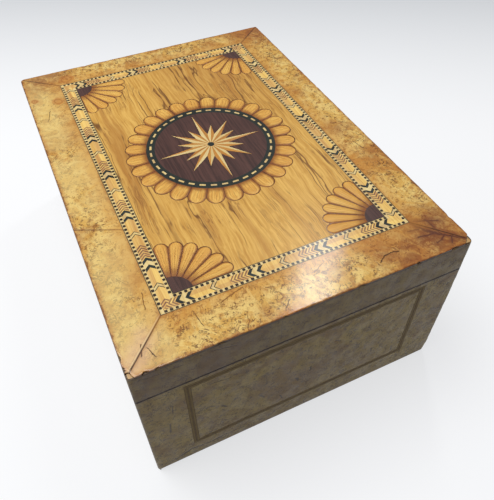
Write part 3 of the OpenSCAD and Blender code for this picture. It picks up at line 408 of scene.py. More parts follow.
def lines(f, marks, vector, wide=1.0, on=lambda x, y: (x, y, FACE)):
    """The strongest of several straight marks, each from a point to a point of a face."""
    drawn = [f.near(on(*a), on(*b), width * wide, vector, 0.15) for a, b, width in marks]
    return f.most(*drawn)


branch = lines(f, BRANCHES, drift, wide=1.2)
f.over(srgb(70, 36, 34), branch, 0.85)
halo = lines(f, BRANCHES, drift, wide=6)
f.over(srgb(112, 62, 40), halo, f.clouds(0.2, 4, 0.6), 0.9)
blush = f.near((144, -103, FACE), (157, -113, FACE), 13, drift, 0.2)
f.over(srgb(226, 184, 144), blush, 0.6)
crack = lines(f, CRACKS, torn, wide=1.6)
f.over(UMBER, crack, 0.95)
# Three knots, each a few rings round an amber heart: place and radius
KNOTS = ((-148.2, -80.4, 8), (-116.6, -94.5, 6.5), (-124, -113, 4))
for x, y, size in KNOTS:
    gap = f.vector("DISTANCE", f.wander(0.12, 2.2), (x, y, UNDER))
    rings = f.step(f.math("SINE", f.times(gap, 14 / size)), 0.2, 0.9)
    inside = f.step(gap, size, size * 0.7)
    f.over(srgb(186, 112, 46), inside, 0.55)
    f.over(RUST, inside, rings, 0.5)
# The mitres, from the corners of the banding to the corners of the box
MITRES = [((133, 90), (162, 116), 0.7), ((133, -88), (161.4, -116), 0.75),
          ((-140, -88), (-165, -118.5), 0.6), ((-140, 90), (-165, 118.5), 0.7)]
JOINTS = MITRES + [((56, -88), (42, -118.5), 0.4)]
grime = lines(f, JOINTS, joint_way)
dirt = f.times(lines(f, JOINTS, torn, wide=3.2), f.clouds(0.3, 4, 0.6), 0.7)
f.over(RUST, dirt)
# Painted highlight: a pale line beside the near right mitre stands for light caught along the
# joint.
mitre_highlight = lines(f, [((132.4, -88.7), (160.8, -116.8), 0.75)], joint_way)
f.over(srgb(240, 212, 160), mitre_highlight, 0.7)
f.over(UMBER, grime, 0.9)
# The handled edge and the line where the varnish pooled against the banding
edge = f.math("MINIMUM", f.math("SUBTRACT", HALF[0], f.math("ABSOLUTE", f.x)),
              f.math("SUBTRACT", HALF[1], f.math("ABSOLUTE", f.y)))
ragged = f.math("ADD", edge, f.times(f.math("SUBTRACT", f.clouds(0.22, 4, 0.6), 0.5), 5))
f.over(srgb(180, 110, 46), f.step(ragged, 4, 0.5, 0.45))
f.over(srgb(104, 52, 26), f.step(ragged, 1.5, 0.3, 0.7))
inner = f.most(f.math("SUBTRACT", BAND[0], f.x), f.math("SUBTRACT", f.x, BAND[1]),
               f.math("SUBTRACT", BAND[2], f.y), f.math("SUBTRACT", f.y, BAND[3]))
pooled = f.math("ADD", inner, f.times(f.clouds(0.09, 4, 0.6), 8))
f.over(srgb(204, 138, 54), f.step(pooled, 20, 6, 0.4))
f.over(srgb(150, 88, 40), f.step(pooled, 6.5, 3.0, 0.5))
f.over(srgb(52, 28, 20), f.step(f.z, 137.3, 136.95, 0.9))
depth = f.math("SUBTRACT", relief, f.times(f.most(grime, crack), 3))
lid_wood.shine(f.step(f.clouds(0.15, 4), 0.3, 0.7, 0.5, 0.34), depth, 0.04,
               **{**VARNISH, "Coat Roughness": 0.12})
print("lid burr:", len(f.tree.nodes), "nodes")

# %% [markdown]
# The sides are the same wood, greyer from handling and dull varnish. The seam between
# lid and body is painted dark, a painted shade for the gap, and the upright corners and
# the foot are painted darker too. Near the lid and the foot the veneer of the right-hand
# end shows short cracks and scratches.

# %% Burr of the sides
side_wood = Finish("burr_sides")
f = side_wood
relief = burr(f, srgb(192, 166, 96), srgb(168, 140, 72), srgb(142, 108, 52),
              srgb(104, 76, 42), srgb(58, 42, 24))
smoky = f.clouds(0.02, 4, 0.6, 0.8)
f.over(srgb(150, 122, 92), f.step(smoky, 0.45, 0.7, 0.35))
standing = f.clouds(0.5, 4, 0.65, 0.3, f.stretch((1, 1, 0.12), vector=f.wander(0.1, 2.0)))
f.over(srgb(104, 82, 54), f.step(standing, 0.52, 0.72, 0.35))
# Marks of the right-hand end, as places along the end and up
END_MARKS = [((-112, 133.5), (-108, 131.6), 0.45), ((-108, 131.6), (-87, 130.4), 0.3),
             ((-69, 132.8), (-54, 128.6), 0.35), ((-24, 134), (-24, 113), 0.16),
             ((1.5, 9), (1.5, 2.5), 0.35), ((-104, 7.5), (-91, 13), 0.7),
             ((-91, 13), (-78, 10), 0.6), ((-78, 10), (-64, 11.5), 0.6),
             ((-64, 11.5), (-50, 10.2), 0.45), ((-73, 96), (-60, 93), 0.35),
             ((-60, 93), (-55, 95), 0.3), ((2.5, 60), (2.5, 55), 0.7),
             ((-66, 60), (-63, 56), 0.8), ((-9, 52), (-7, 47), 0.6), ((77, 34), (78, 29), 0.5),
             ((56, 46), (57, 42), 0.6), ((-21, 36), (-19, 30), 0.5),
             ((-37, 50), (-34, 44), 0.5), ((104, 118), (108, 121), 0.3),
             ((-102, 66), (-103, 54), 0.5), ((-98, 88), (-99, 78), 0.3),
             ((20, 82), (24, 79), 0.4), ((70, 112), (73, 116), 0.3)]
torn = f.flatten(f.wander(0.3, 1.1), 0, HALF[0])
scars = lines(f, END_MARKS, torn, wide=1.8, on=lambda y, z: (HALF[0], y, z))
total = f.times(scars, f.step(f.x, 150, 160))
f.over(srgb(46, 32, 22), total, 0.85)
# Painted shade: a narrow dark line at the seam and a softer dark band round it stand for the
# shade in the gap between lid and body.
seam = f.math("ABSOLUTE", f.math("SUBTRACT", f.z, SEAM))
seam_shade = f.math("ADD", seam, f.times(f.math("SUBTRACT", f.clouds(0.3, 4, 0.6), 0.5), 1.6))
f.over(srgb(84, 60, 40), f.step(seam_shade, 3.0, 0.2, 0.35))
f.over(srgb(46, 28, 20), f.step(seam, 1.3, 0.5, 0.95))
long, wide = f.math("ABSOLUTE", f.x), f.math("ABSOLUTE", f.y)
upright = f.times(f.most(f.step(long, 163.6, 164.8),
                         f.times(f.step(long, 160, 166), f.clouds(0.2, 4, 0.6))),
                  f.step(wide, 117.2, 118.2))
low = f.math("ADD", f.z, f.times(f.clouds(0.12, 4, 0.6), 5))
f.over(srgb(66, 46, 32), upright, 0.8)
f.over(srgb(70, 52, 38), f.step(low, 7.5, 2.5, 0.6))
f.over(srgb(88, 64, 50), f.step(f.z, 109.5, 110, 0.4))
high = f.math("ADD", f.z, f.times(f.clouds(0.12, 4, 0.6), -3))
f.over(srgb(62, 43, 34), f.step(high, 132.5, 135.8, 0.8))
depth = f.math("SUBTRACT", relief, f.times(total, 3))
side_wood.shine(f.step(f.clouds(0.12, 4), 0.3, 0.7, 0.55, 0.4), depth, 0.05,
                **{**VARNISH, "Coat Weight": 0.12, "Specular IOR Level": 0.25})
print("side burr:", len(f.tree.nodes), "nodes")

# %% [markdown]
# ## Woods of the inlay
# The inlays are cut along the grain. Noise drawn out in one direction gives streaks, a
# second finer layer gives pores, and two colours say which wood it is. Pieces that were
# laid one by one carry a tone, which makes every tile a little lighter or darker than the
# next. For the star and the fans the grain follows the rays, so the streaks are drawn in
# distance and angle round the middle of the panel.

# %% Plain woods
def grain(name, pale, dark, along=0, seed=(0, 0, 0), streak=0.25, contrast=0.8, dull=0.42,
          spread=0.0, rays=False, **extra):
    """A wood with its grain along an angle about Z, or along rays. The spread says how
    much the pieces' own tones differ."""
    f = Finish(name)
    if rays:
        x, y = f.math("SUBTRACT", f.x, MIDDLE[0]), f.math("SUBTRACT", f.y, MIDDLE[1])
        angle = f.times(f.math("ARCTAN2", y, x), 24)
        away = f.vector("DISTANCE", f.place, (*MIDDLE, TOP))
        spot = f.add("ShaderNodeCombineXYZ", {0: away, 1: angle, 2: 0.0}).outputs[0]
        spot = f.wander(0.1, 0.6, spot)
    else:
        spot = f.wander(0.05, 1.2)
    laid = f.stretch((0.03, 1, 1), seed, (0, 0, math.radians(-along)), spot)
    streaks = f.clouds(streak, 4, 0.6, 0.4, laid)
    pores = f.step(f.clouds(4 * streak, 3, 0.7, 0, laid), 0.55, 0.75)
    tint = f.clouds(0.03, 3)
    f.colour = f.mix(f.step(streaks, 0.35, 0.7, contrast), pale, dark)
    f.over(dark, pores, 0.35)
    f.over(dark, f.step(tint, 0.4, 0.7, 0.25))
    if spread:
        own = f.step(f.read("tone"), 0, 1, spread, -spread)
        hsv = f.add("ShaderNodeHueSaturation", {
            "Value": f.math("ADD", 1, own), "Color": f.colour,
            "Hue": f.math("ADD", 0.5, f.times(own, 0.06))})
        f.colour = hsv.outputs[0]
    dirt = f.step(f.clouds(0.35, 4, 0.7, 0.5), 0.6, 0.8, 0.4)
    f.over(srgb(70, 44, 24), dirt)
    return f.shine(dull, f.math("SUBTRACT", 1, pores), 0.03, **extra)


pine = grain("pine_boards", srgb(208, 172, 116), srgb(170, 122, 66), 0, (3, 1, 2), 0.3)
mahogany = grain("mahogany_facings", srgb(118, 64, 40), srgb(70, 34, 24), 0, (5, 2, 1), 0.6,
                 **VARNISH)
ebony = grain("ebony_inlay", srgb(44, 52, 46), srgb(22, 26, 25), 0, (1, 9, 4), 1.2, 0.7,
              **VARNISH)
holly = grain("holly_inlay", srgb(232, 208, 148), srgb(206, 172, 106), 0, (2, 5, 8), 0.8,
              rays=True, **VARNISH)
shade = grain("satinwood_shade", srgb(206, 146, 66), srgb(160, 98, 40), 0, (2, 5, 3), 0.8,
              rays=True, **VARNISH)
walnut = grain("walnut_inlay", srgb(118, 74, 46), srgb(70, 42, 26), 30, (8, 2, 6), 1.0,
               **VARNISH)
rosewood = grain("rosewood_ground", srgb(92, 62, 55), srgb(54, 36, 34), 0, (6, 1, 7), 0.6,
                 **VARNISH)
toned = {
    "ebony": grain("ebony_tiles", srgb(44, 50, 46), srgb(26, 28, 27), 45, (1, 9, 4), 1.2,
                   spread=0.35, **VARNISH),
    "holly": grain("holly_tiles", srgb(232, 206, 146), srgb(206, 170, 104), 30, (2, 5, 8),
                   0.8, spread=0.1, **VARNISH),
    "golden": grain("golden_tiles", srgb(240, 200, 118), srgb(206, 152, 76), 30, (2, 1, 8),
                    0.7, spread=0.14, **VARNISH),
    "dentil": grain("dentil_tiles", srgb(62, 46, 32), srgb(36, 27, 22), 45, (1, 9, 4), 1.2,
                    spread=0.4, **VARNISH),
    "walnut": grain("walnut_tiles", srgb(156, 112, 82), srgb(118, 82, 62), 30, (8, 2, 6),
                    0.9, spread=0.2, **VARNISH)}
print("woods of the tiles:", sorted(toned))

# %% [markdown]
# The petals read two numbers from their own mesh: how far along and how far across a
# point lies. Hot sand has browned the foot and the edges, a knife has cut fine veins that
# spread from the foot, and each petal has its own tone of gold.

# %% Carved petals
f = Finish("petal_gold")
run, side, tone = f.read("run"), f.read("side"), f.read("tone")
laid = f.add("ShaderNodeCombineXYZ", {
    0: f.times(run, 2), 1: f.times(side, 5), 2: f.times(tone, 40)}).outputs[0]
streaks = f.clouds(1.0, 4, 0.6, 0.6, laid)
f.colour = f.mix(f.step(streaks, 0.35, 0.65, 0.75), srgb(236, 190, 98), srgb(206, 144, 60))
f.over(srgb(214, 150, 66), f.step(tone, 0, 1, 0.45))
edge = f.math("ADD", f.math("ABSOLUTE", side), f.times(f.clouds(0.4, 3), 0.3))
f.over(srgb(146, 84, 36), f.step(edge, 0.72, 1.12, 0.85))
root = f.math("ADD", run, f.times(f.clouds(0.3, 3), 0.25))
f.over(srgb(130, 72, 32), f.step(root, 0.5, 0.1, 0.9))
bend = f.math("ADD", side, f.times(f.math("SUBTRACT", f.clouds(0.25, 2), 0.5), 0.35))
veins = f.math("ABSOLUTE", f.math("SINE", f.times(bend, 7.0)))
vein = f.times(f.step(veins, 0.22, 0.04), f.step(run, 0.02, 0.2), f.step(run, 0.95, 0.75))
f.over(srgb(128, 74, 34), vein, 0.6)
toned["petal"] = f.shine(0.5, f.math("SUBTRACT", 1, vein), 0.08,
                         **{**VARNISH, "Coat Weight": 0.25, "Coat Roughness": 0.3})
print("petal wood:", len(f.tree.nodes), "nodes")

# %% [markdown]
# The golden ground of the panel shows long dark lines where the grain opened. They run
# the length of the box, wander a little, and come and go. A fine streak pattern lies
# under them, and the wood is browner towards the left and back.

# %% Golden ground
f = Finish("satinwood_ground")
swept = f.wander(0.018, 5.0, f.wander(0.12, 0.5))
fine = f.clouds(0.55, 5, 0.65, 0.3, f.stretch((0.04, 1, 1), vector=swept))
broad = f.clouds(0.06, 4, 0.6, 0.4, f.stretch((0.1, 1, 1), (3, 7, 0), vector=swept))
f.colour = f.mix(f.step(fine, 0.3, 0.7), srgb(232, 186, 98), srgb(200, 148, 66))
f.over(srgb(168, 110, 50), f.step(broad, 0.48, 0.7, 0.6))
f.over(srgb(166, 108, 50), f.step(f.x, 60, -130), f.step(f.y, -50, 50), 0.4)
opened = f.ridge(f.clouds(0.1, 2, 0.5, 0, f.stretch((0.028, 1, 1), (0, 31, 5),
                                                    vector=swept)), 0.022)
come = f.step(f.clouds(0.015, 3, 0.6, 0, f.stretch((1, 3, 1), (40, 3, 0))), 0.38, 0.5)
f.over(srgb(98, 56, 28), opened, come, 0.85)
tiny = f.ridge(f.clouds(0.26, 3, 0.6, 0, f.stretch((0.03, 1, 1), (0, 11, 9),
                                                   vector=swept)), 0.035)
f.over(srgb(122, 74, 36), tiny, f.step(f.clouds(0.03, 3), 0.42, 0.58), 0.55)
satinwood = f.shine(0.45, f.math("SUBTRACT", 1, f.times(opened, come)), 0.06,
                    **{**VARNISH, "Coat Weight": 0.3, "Coat Roughness": 0.25})
print("golden ground:", len(f.tree.nodes), "nodes")

# %% [markdown]
# The stringing on the sides has been rubbed and stained until its black lines are brown
# and its pale lines hardly lighter than the burr. The lining is faded blue paper.

# %% Stringing, paper and metal
worn_black = grain("border_dark", srgb(126, 104, 66), srgb(90, 70, 44), 0, (9, 9, 1), 0.3, 0.8,
                   0.6, **{"Specular IOR Level": 0.2})
worn_pale = grain("border_pale", srgb(160, 136, 88), srgb(128, 106, 68), 0, (4, 9, 2), 0.3,
                  0.8, 0.6, **{"Specular IOR Level": 0.2})
f = Finish("lining_paper")
fibres = f.clouds(1.6, 4, 0.7, 0.5)
f.colour = f.mix(f.step(fibres, 0.35, 0.7), srgb(134, 146, 146), srgb(112, 126, 130))
f.over(srgb(150, 142, 122), f.step(f.clouds(0.02, 4, 0.6, 0.8), 0.48, 0.66, 0.6))
f.over(srgb(116, 92, 66), f.step(f.clouds(0.2, 5, 0.7), 0.62, 0.7, 0.6))
lining = f.shine(0.85, fibres, 0.04)


def metal(name, bright, dull, roughness):
    f = Finish(name)
    tarnish = f.clouds(0.25, 5, 0.65, 0.6)
    scratch = f.clouds(1.2, 3, 0.6, 0, f.stretch((0.1, 1, 1), (0, 0, 0), (0, 0, 0.4)))
    f.colour = f.mix(f.step(tarnish, 0.42, 0.65), bright, dull)
    rough = f.math("ADD", f.times(f.step(tarnish, 0.4, 0.7), 0.25), roughness)
    return f.shine(rough, scratch, 0.01, Metallic=1.0)


brass = metal("aged_brass", srgb(196, 158, 88), srgb(118, 88, 48), 0.28)
screw_brass = metal("screw_brass", srgb(186, 146, 78), srgb(96, 70, 38), 0.35)
steel = metal("spring_steel", srgb(120, 124, 134), srgb(70, 66, 64), 0.3)

# %% [markdown]
# Each solid came with the name of its slot, so one table gives every slot its material.
# The borders of the sides go by their own names: wear has dulled them far more than the
# ebony and holly of the lid.

# %% Give each solid its finish
finishes = {
    "carcass_pine": pine, "side_burr": side_wood.material, "lid_burr": lid_wood.material,
    "mahogany": mahogany, "lining_paper": lining, "ebony": ebony, "holly": holly,
    "walnut": walnut, "satinwood": satinwood, "satinwood_carved": shade,
    "rosewood": rosewood, "brass": brass, "screw_brass": screw_brass, "spring_steel": steel}
by_part = {"border_black": worn_black, "border_pale": worn_pale}
for name, part in parts.items():
    for i, held in enumerate(part.data.materials):
        part.data.materials[i] = by_part.get(name, finishes[held.name])
print("finishes:", sorted(finishes))

# %% [markdown]
# ## Worn edges
# A century of handling rounds a veneered box unevenly. The upright corners are worn most
# near the lid, two corners of the top are bruised away, and the edge of the top is a
# soft, slightly ragged line. A bevel would round every edge alike, so each veneer is
# built here as a fine grid of points instead, and the wear is a rule that says how far
# each point has gone back from the true face. The same rule serves the sides and the
# top, so neighbouring veneers meet along one worn edge.

# %% Rules of wear
BACK, RIGHT, FRONT, LEFT = range(4)
SIDES = ("back", "right", "front", "left")
OUTWARD = [(0, 1), (1, 0), (0, -1), (-1, 0)]
# Radius of the upright corners at several heights, by the signs of x and y
WORN_CORNERS = {
    (1, -1): ((0, 2.4), (30, 1.4), (108, 1.6), (127, 1.7), (132, 3.2), (138, 4.4)),
    (1, 1): ((0, 4.6), (14, 2.0), (80, 1.7), (112, 2.2), (128, 3.2), (138, 4.4)),
    (-1, -1): ((0, 2.4), (60, 1.6), (120, 2.0), (138, 3.8)),
    (-1, 1): ((0, 2.2), (60, 1.6), (138, 1.6))}
# Corners broken or worn off the top: their length along x and along y, and how ragged
BROKEN = {(1, -1): (9.5, 4.6, 0.9), (1, 1): (6.5, 7.0, 0.3)}
# Largest radius that leaves the pine under the side veneers covered
COVERED = 4.0
CORNER_ZONE = 8.0               # stretch before a corner where the columns crowd together
# Bites out of the edge of the top: side, place along it, half length, depth
BITES = [(RIGHT, -108, 2.2, 1.1), (RIGHT, -101, 1.4, 0.7), (RIGHT, -63, 2.6, 0.55),
         (RIGHT, -22, 1.6, 0.5), (RIGHT, 31, 3.4, 0.5), (RIGHT, 74, 1.8, 0.6),
         (RIGHT, 103, 3.0, 0.9), (FRONT, 150, 3.0, 0.9), (FRONT, 92, 2.4, 0.4),
         (BACK, -140, 2.6, 0.6), (BACK, 40, 2.0, 0.4), (LEFT, 60, 2.2, 0.5)]


def between(pairs, value):
    """The value of a broken line given by its corners."""
    for (x0, y0), (x1, y1) in zip(pairs, pairs[1:]):
        if value <= x1:
            return y0 + (y1 - y0) * max(0, value - x0) / (x1 - x0)
    return pairs[-1][1]


def rounding(radius, room):
    """How far a quarter circle lies behind the face, at a distance from the corner."""
    if room >= radius:
        return 0.0
    return radius - math.sqrt(max(0, radius ** 2 - (radius - max(0, room)) ** 2))


def rough(x, y, z, size, height):
    """A smooth random height with features of a size, the same in the same place."""
    return height * noise.noise(Vector((x, y, z)) / size)


def plan(side, u, out):
    """The x and y of a place on a side. To someone who faces the side u runs to the
    right, and out is measured from the carcass under the veneer."""
    nx, ny = OUTWARD[side]
    reach = HALF[1 - side % 2] - SKIN + out
    return nx * reach - ny * u, ny * reach + nx * u


def corner_radius(side, sign, z):
    """Worn radius of the corner at the left (-1) or right (1) end of a side."""
    x, y = plan(side, sign * HALF[side % 2], SKIN)
    radius = between(WORN_CORNERS[math.copysign(1, x), math.copysign(1, y)], z)
    return radius * (1 + rough(x, y, z, 7, 0.3))


def side_point(side, column, z):
    """Where a column of points crosses the height z, as a place along the side and a
    distance out. A column is a place along the side, or an end of the side and a share
    of the way round its corner, from CORNER_ZONE before it to the next board."""
    long = HALF[side % 2]
    if not isinstance(column, tuple):
        radius = min(COVERED, corner_radius(side, math.copysign(1, column), z))
        return column, SKIN - rounding(radius, long - abs(column))
    sign, share = column
    radius = min(COVERED, corner_radius(side, sign, z))
    straight, arc = CORNER_ZONE - radius, radius * math.acos(max(0, radius - SKIN) / radius)
    gone = share * (straight + arc + max(0, SKIN - radius))
    angle = min(max(0, gone - straight), arc) / radius
    u = long - CORNER_ZONE + min(gone, straight) + radius * math.sin(angle)
    return sign * u, SKIN - radius + radius * math.cos(angle) - max(0, gone - straight - arc)


print("radius of the near left corner at its top:", round(corner_radius(RIGHT, -1, TOP), 2))

# %% [markdown]
# ## Side veneers
# Each side of the body and of the lid carries one sheet of burr, 1.2 mm thick. The sheets
# of the front and back reach round the corners and cover the edges of the end sheets.
# A sheet is a grid of cells, outer face and inner face, and wherever a cell has no
# neighbour a wall closes the gap. Leaving cells out makes the channel for the inlaid
# border, the keyhole and the notches for the hinges, with clean walls each time.

# %% Veneer sheets
HINGE_X, HINGE_HALF, PIN_Y, PIN_Z = 95, 19.75, 116.9, SEAM
BEVEL = math.tan(math.radians(50.5))
BORDER_SIDE, BORDER_FOOT, BORDER_TOP, BORDER_W = 29.4, 20.0, 105.5, 4.5
SHRUNK = 0.04                   # how far the old face lies behind the new one
HINGE_FOOT, HINGE_HEAD = 106.7, 112.2


def stations(start, end, step, close=()):
    """Numbers from start to end about a step apart, with closer ones at both ends."""
    inner = [start + c for c in close] + [end - c for c in close]
    first, last = start + max(close, default=0), end - max(close, default=0)
    count = max(1, round((last - first) / step))
    return sorted({round(v, 4) for v in inner + [start, end] + [
        first + (last - first) * i / count for i in range(count + 1)]})


def mesh_piece(name, corners, faces, material, body, number=0.0, sharp=35):
    """Joins equal corners, smooths the faces except over sharp edges, and rides. The
    mesh carries its sheet's number for the material."""
    piece = sheet(name, corners, faces, material, body)
    held = bmesh.new()
    held.from_mesh(piece.data)
    bmesh.ops.remove_doubles(held, verts=held.verts, dist=1e-6)
    bmesh.ops.dissolve_degenerate(held, edges=held.edges, dist=1e-7)
    held.to_mesh(piece.data)
    held.free()
    piece.data.shade_smooth()
    piece.data.set_sharp_from_angle(angle=math.radians(sharp))
    carry(piece, "sheet", [number] * len(piece.data.vertices))
    return piece


def lined_columns(side, holes):
    """Columns of a side's grid: dense at the ends, and one on each edge of a hole."""
    long = HALF[side % 2] - (SKIN if side % 2 else CORNER_ZONE)
    close = (0.5, 1.1, 1.8, 2.6, 3.6, 5.0, 7.0) if side % 2 else (4.0,)
    columns = set(stations(-long, long, 3.4, close)) | {u for h in holes for u in h[:2]}
    columns = sorted(columns)
    if side % 2 == 0:
        wrap = [i / 12 for i in range(1, 13)]
        columns = [(-1, s) for s in reversed(wrap)] + columns + [(1, s) for s in wrap]
    return columns


def veneer(name, side, z0, z1, holes, body, material, foot=0.0):
    """One worn sheet of veneer on a side, from z0 to z1, closed all round."""
    columns = lined_columns(side, holes)
    rows = set(stations(z0, z1, 3.3, (0.12, 0.3, 0.6, 1.1, 1.8, 2.8)))
    rows = sorted(rows | {z for h in holes for z in h[2:]})
    corners, where = [], {}
    for i, column in enumerate(columns):
        for j, z in enumerate(rows):
            u, out = side_point(side, column, z)
            x, y = plan(side, u, out)
            flat = max(0.0, 1 - 2 * (SKIN - out))
            out -= flat * (SHRUNK + rough(x, y, z, 19, 0.03) + rough(x, y, z, 6, 0.015))
            edge = 0.35 + rough(x, y, z, 8, 0.25)
            out -= rounding(edge, z1 - z) + (rounding(edge, z - z0) if not foot else
                                             rounding(foot, z))
            for layer, depth in enumerate((max(0.02, out) if flat else out, 0.0)):
                x, y = plan(side, u, depth)
                groove = BEVEL * max(0, y - PIN_Y)
                top = min(z, PIN_Z - groove) if z1 < PIN_Z else max(z, min(PIN_Z + groove, z1))
                where[i, j, layer] = len(corners)
                corners.append((x, y, top))
    value = [side_point(side, c, z0)[0] for c in columns]
    inside = {(i, j) for i in range(len(columns) - 1) for j in range(len(rows) - 1)
              if not any(h[0] < (value[i] + value[i + 1]) / 2 < h[1]
                         and h[2] < (rows[j] + rows[j + 1]) / 2 < h[3] for h in holes)}
    faces = []
    for i, j in sorted(inside):
        ring = [(i, j), (i + 1, j), (i + 1, j + 1), (i, j + 1)]
        beside = [(i, j - 1), (i + 1, j), (i, j + 1), (i - 1, j)]
        faces.append([where[*p, 0] for p in ring])
        faces.append([where[*p, 1] for p in reversed(ring)])
        for k in range(4):
            if beside[k] not in inside:
                a, b = ring[k], ring[(k + 1) % 4]
                faces.append([where[*b, 0], where[*a, 0], where[*a, 1], where[*b, 1]])
    number = side + (6.0 if z0 > SEAM else 1.0)     # the lid's sheets differ from the body's
    return mesh_piece(name, corners, faces, material, body, number)


def border_holes(side):
    """The channel for the inlaid border: its four runs as boxes of u and z."""
    u, w = HALF[side % 2] - BORDER_SIDE, BORDER_W
    return [(-u, u, BORDER_FOOT, BORDER_FOOT + w), (-u, u, BORDER_TOP - w, BORDER_TOP),
            (-u, -u + w, BORDER_FOOT, BORDER_TOP), (u - w, u, BORDER_FOOT, BORDER_TOP)]


# The foot of the sheets is where the worn lower edge leaves the carcass
FOOT_R = 2.5
foot_z = FOOT_R - math.sqrt(FOOT_R ** 2 - (FOOT_R - SKIN) ** 2)
hinge_spans = [(s * HINGE_X - HINGE_HALF, s * HINGE_X + HINGE_HALF) for s in (-1, 1)]
keyhole = [(-2.4, 2.4, 88.9, 93.7), (-1.2, 1.2, 84.7, 88.9)]
for side, word in enumerate(SIDES):
    body_holes, lid_holes = border_holes(side), []
    if side == BACK:
        body_holes += [(a, b, HINGE_FOOT, 110) for a, b in hinge_spans]
        lid_holes = [(a, b, 109, HINGE_HEAD) for a, b in hinge_spans]
    if side == FRONT:
        body_holes += keyhole
    low = veneer("worn_body_veneer_" + word, side, foot_z, BODY_TOP, body_holes, "body",
                 side_wood.material, FOOT_R)
    high = veneer("worn_lid_veneer_" + word, side, LID_FOOT, INLAY, lid_holes, "lid",
                  side_wood.material)
    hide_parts("body_veneer_" + word)
    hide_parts("lid_veneer_" + word)
    for piece in (low, high):
        print(piece.name, len(piece.data.polygons), "faces")

# %% [markdown]
# ## The burr frame of the lid
# Four strips of burr, mitred at the corners, surround the inlay. Their outer edge is the
# most handled edge of the box: it is rolled over by half a millimetre, small pieces have
# broken out along it, and the tips of two corners are gone. Each strip is a ring of
# points, the section of the strip, repeated at several hundred places along its length.
# At each place the section lies on the line from the worn edge to the banding, and at
# the ends this line is the mitre, so that two strips share it.

# %% Burr frame
ROLL, ROLL_MOST, ROLL_STEPS = 0.62, 1.1, 6      # radius of the worn edge, and its facets
LAID = TOP - 0.03                               # level of the burr, a hair under the top
ACROSS = [0, 0.12, 0.3, 0.5, 0.7, 0.84, 0.93, 0.975]


def strip_edge(side, u):
    """How far the edge of the top has gone back at a place along it."""
    x, y = plan(side, u, SKIN)
    radius = corner_radius(side, math.copysign(1, u), TOP)
    gone = rounding(radius, HALF[side % 2] - abs(u))
    broken = BROKEN.get((math.copysign(1, x), math.copysign(1, y)))
    if broken:
        along, across = (broken[0], broken[1]) if side % 2 == 0 else (broken[1], broken[0])
        room = HALF[side % 2] - abs(u)
        jag = rough(x, y, 2, 1.3, broken[2])
        gone = max(gone, min(along, across * (1 - room / along) + jag))
    gone += 0.12 + rough(x, y, 0, 11, 0.12) + rough(x, y, 5, 2.1, 0.07)
    for where, place, half, depth in BITES:
        share = abs(u - place) / half
        if where == side and share < 1:
            gone += depth * (1 - share ** 2) * (1 + rough(x, y, 0, 0.7, 0.5))
    return gone


def burr_strip(side, body, material, word):
    long = HALF[side % 2]
    ends = [-long, long]
    for k, sign in enumerate((-1, 1)):
        for _ in range(20):             # the mitre meets the worn outline at this place
            gone = strip_edge(side, ends[k])
            ends[k] = sign * (long - gone)
    nx, ny = OUTWARD[side]
    band_out = (BAND[3], BAND[1], -BAND[2], -BAND[0])[side]
    band_ends = ((-BAND[1], -BAND[0]), (BAND[2], BAND[3]), (BAND[0], BAND[1]),
                 (-BAND[3], -BAND[2]))[side]
    corners, count = [], 0
    places = stations(ends[0], ends[1], 0.8, (0.2, 0.5, 0.9, 1.4, 2.0, 2.7, 3.5))
    for u in places:
        share = (u - ends[0]) / (ends[1] - ends[0])
        inner_u = band_ends[0] + share * (band_ends[1] - band_ends[0])
        hair = 0.04 if u == places[0] else -0.04 if u == places[-1] else 0
        outer = Vector(plan(side, u + hair, SKIN - strip_edge(side, u)))
        inner = Vector((nx * band_out - ny * (inner_u + hair),
                        ny * band_out + nx * (inner_u + hair)))
        inward = (inner - outer).normalized()
        roll = min(ROLL_MOST, ROLL + rough(*outer, 0, 6, 0.35))
        start = outer + inward * roll
        section = []
        for s in ACROSS:
            p = inner.lerp(start, s)
            section.append((*p, LAID + rough(*p, 0, 21, 0.03) + rough(*p, 9, 7, 0.012)))
        for k in range(ROLL_STEPS + 1):
            angle = math.radians(90) * (1 - k / ROLL_STEPS)
            p = start - inward * roll * math.cos(angle)
            section.append((*p, LAID - roll * (1 - math.sin(angle))))
        section += [(*outer, INLAY), (*inner, INLAY)]
        corners += section
        count = len(section)
    faces = [[i * count + k, i * count + (k + 1) % count, (i + 1) * count + (k + 1) % count,
              (i + 1) * count + k] for i in range(len(places) - 1) for k in range(count)]
    last = (len(places) - 1) * count
    faces += [list(reversed(range(count))), [last + k for k in range(count)]]
    piece = mesh_piece("worn_burr_" + word, corners, faces, material, body, side + 11.0)
    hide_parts("burr_" + word)
    print(piece.name, len(faces), "faces")
    return piece


for side, word in enumerate(SIDES):
    burr_strip(side, "lid", lid_wood.material, word)

# %% [markdown]
# ## Laying many small pieces
# The banding holds some five hundred ebony squares, the ring round the star its dashes,
# and the medallion its petals. By hand, every piece lands a hair off its place, a hair
# turned, and cut from another bit of wood. That is what Geometry Nodes do well: one tree
# takes the places as points, lays a copy of a piece on each, turns it by the angle that
# the point carries, adds a little seeded randomness, and gives every copy its own tone
# for the material to read.

# %% The laying tree


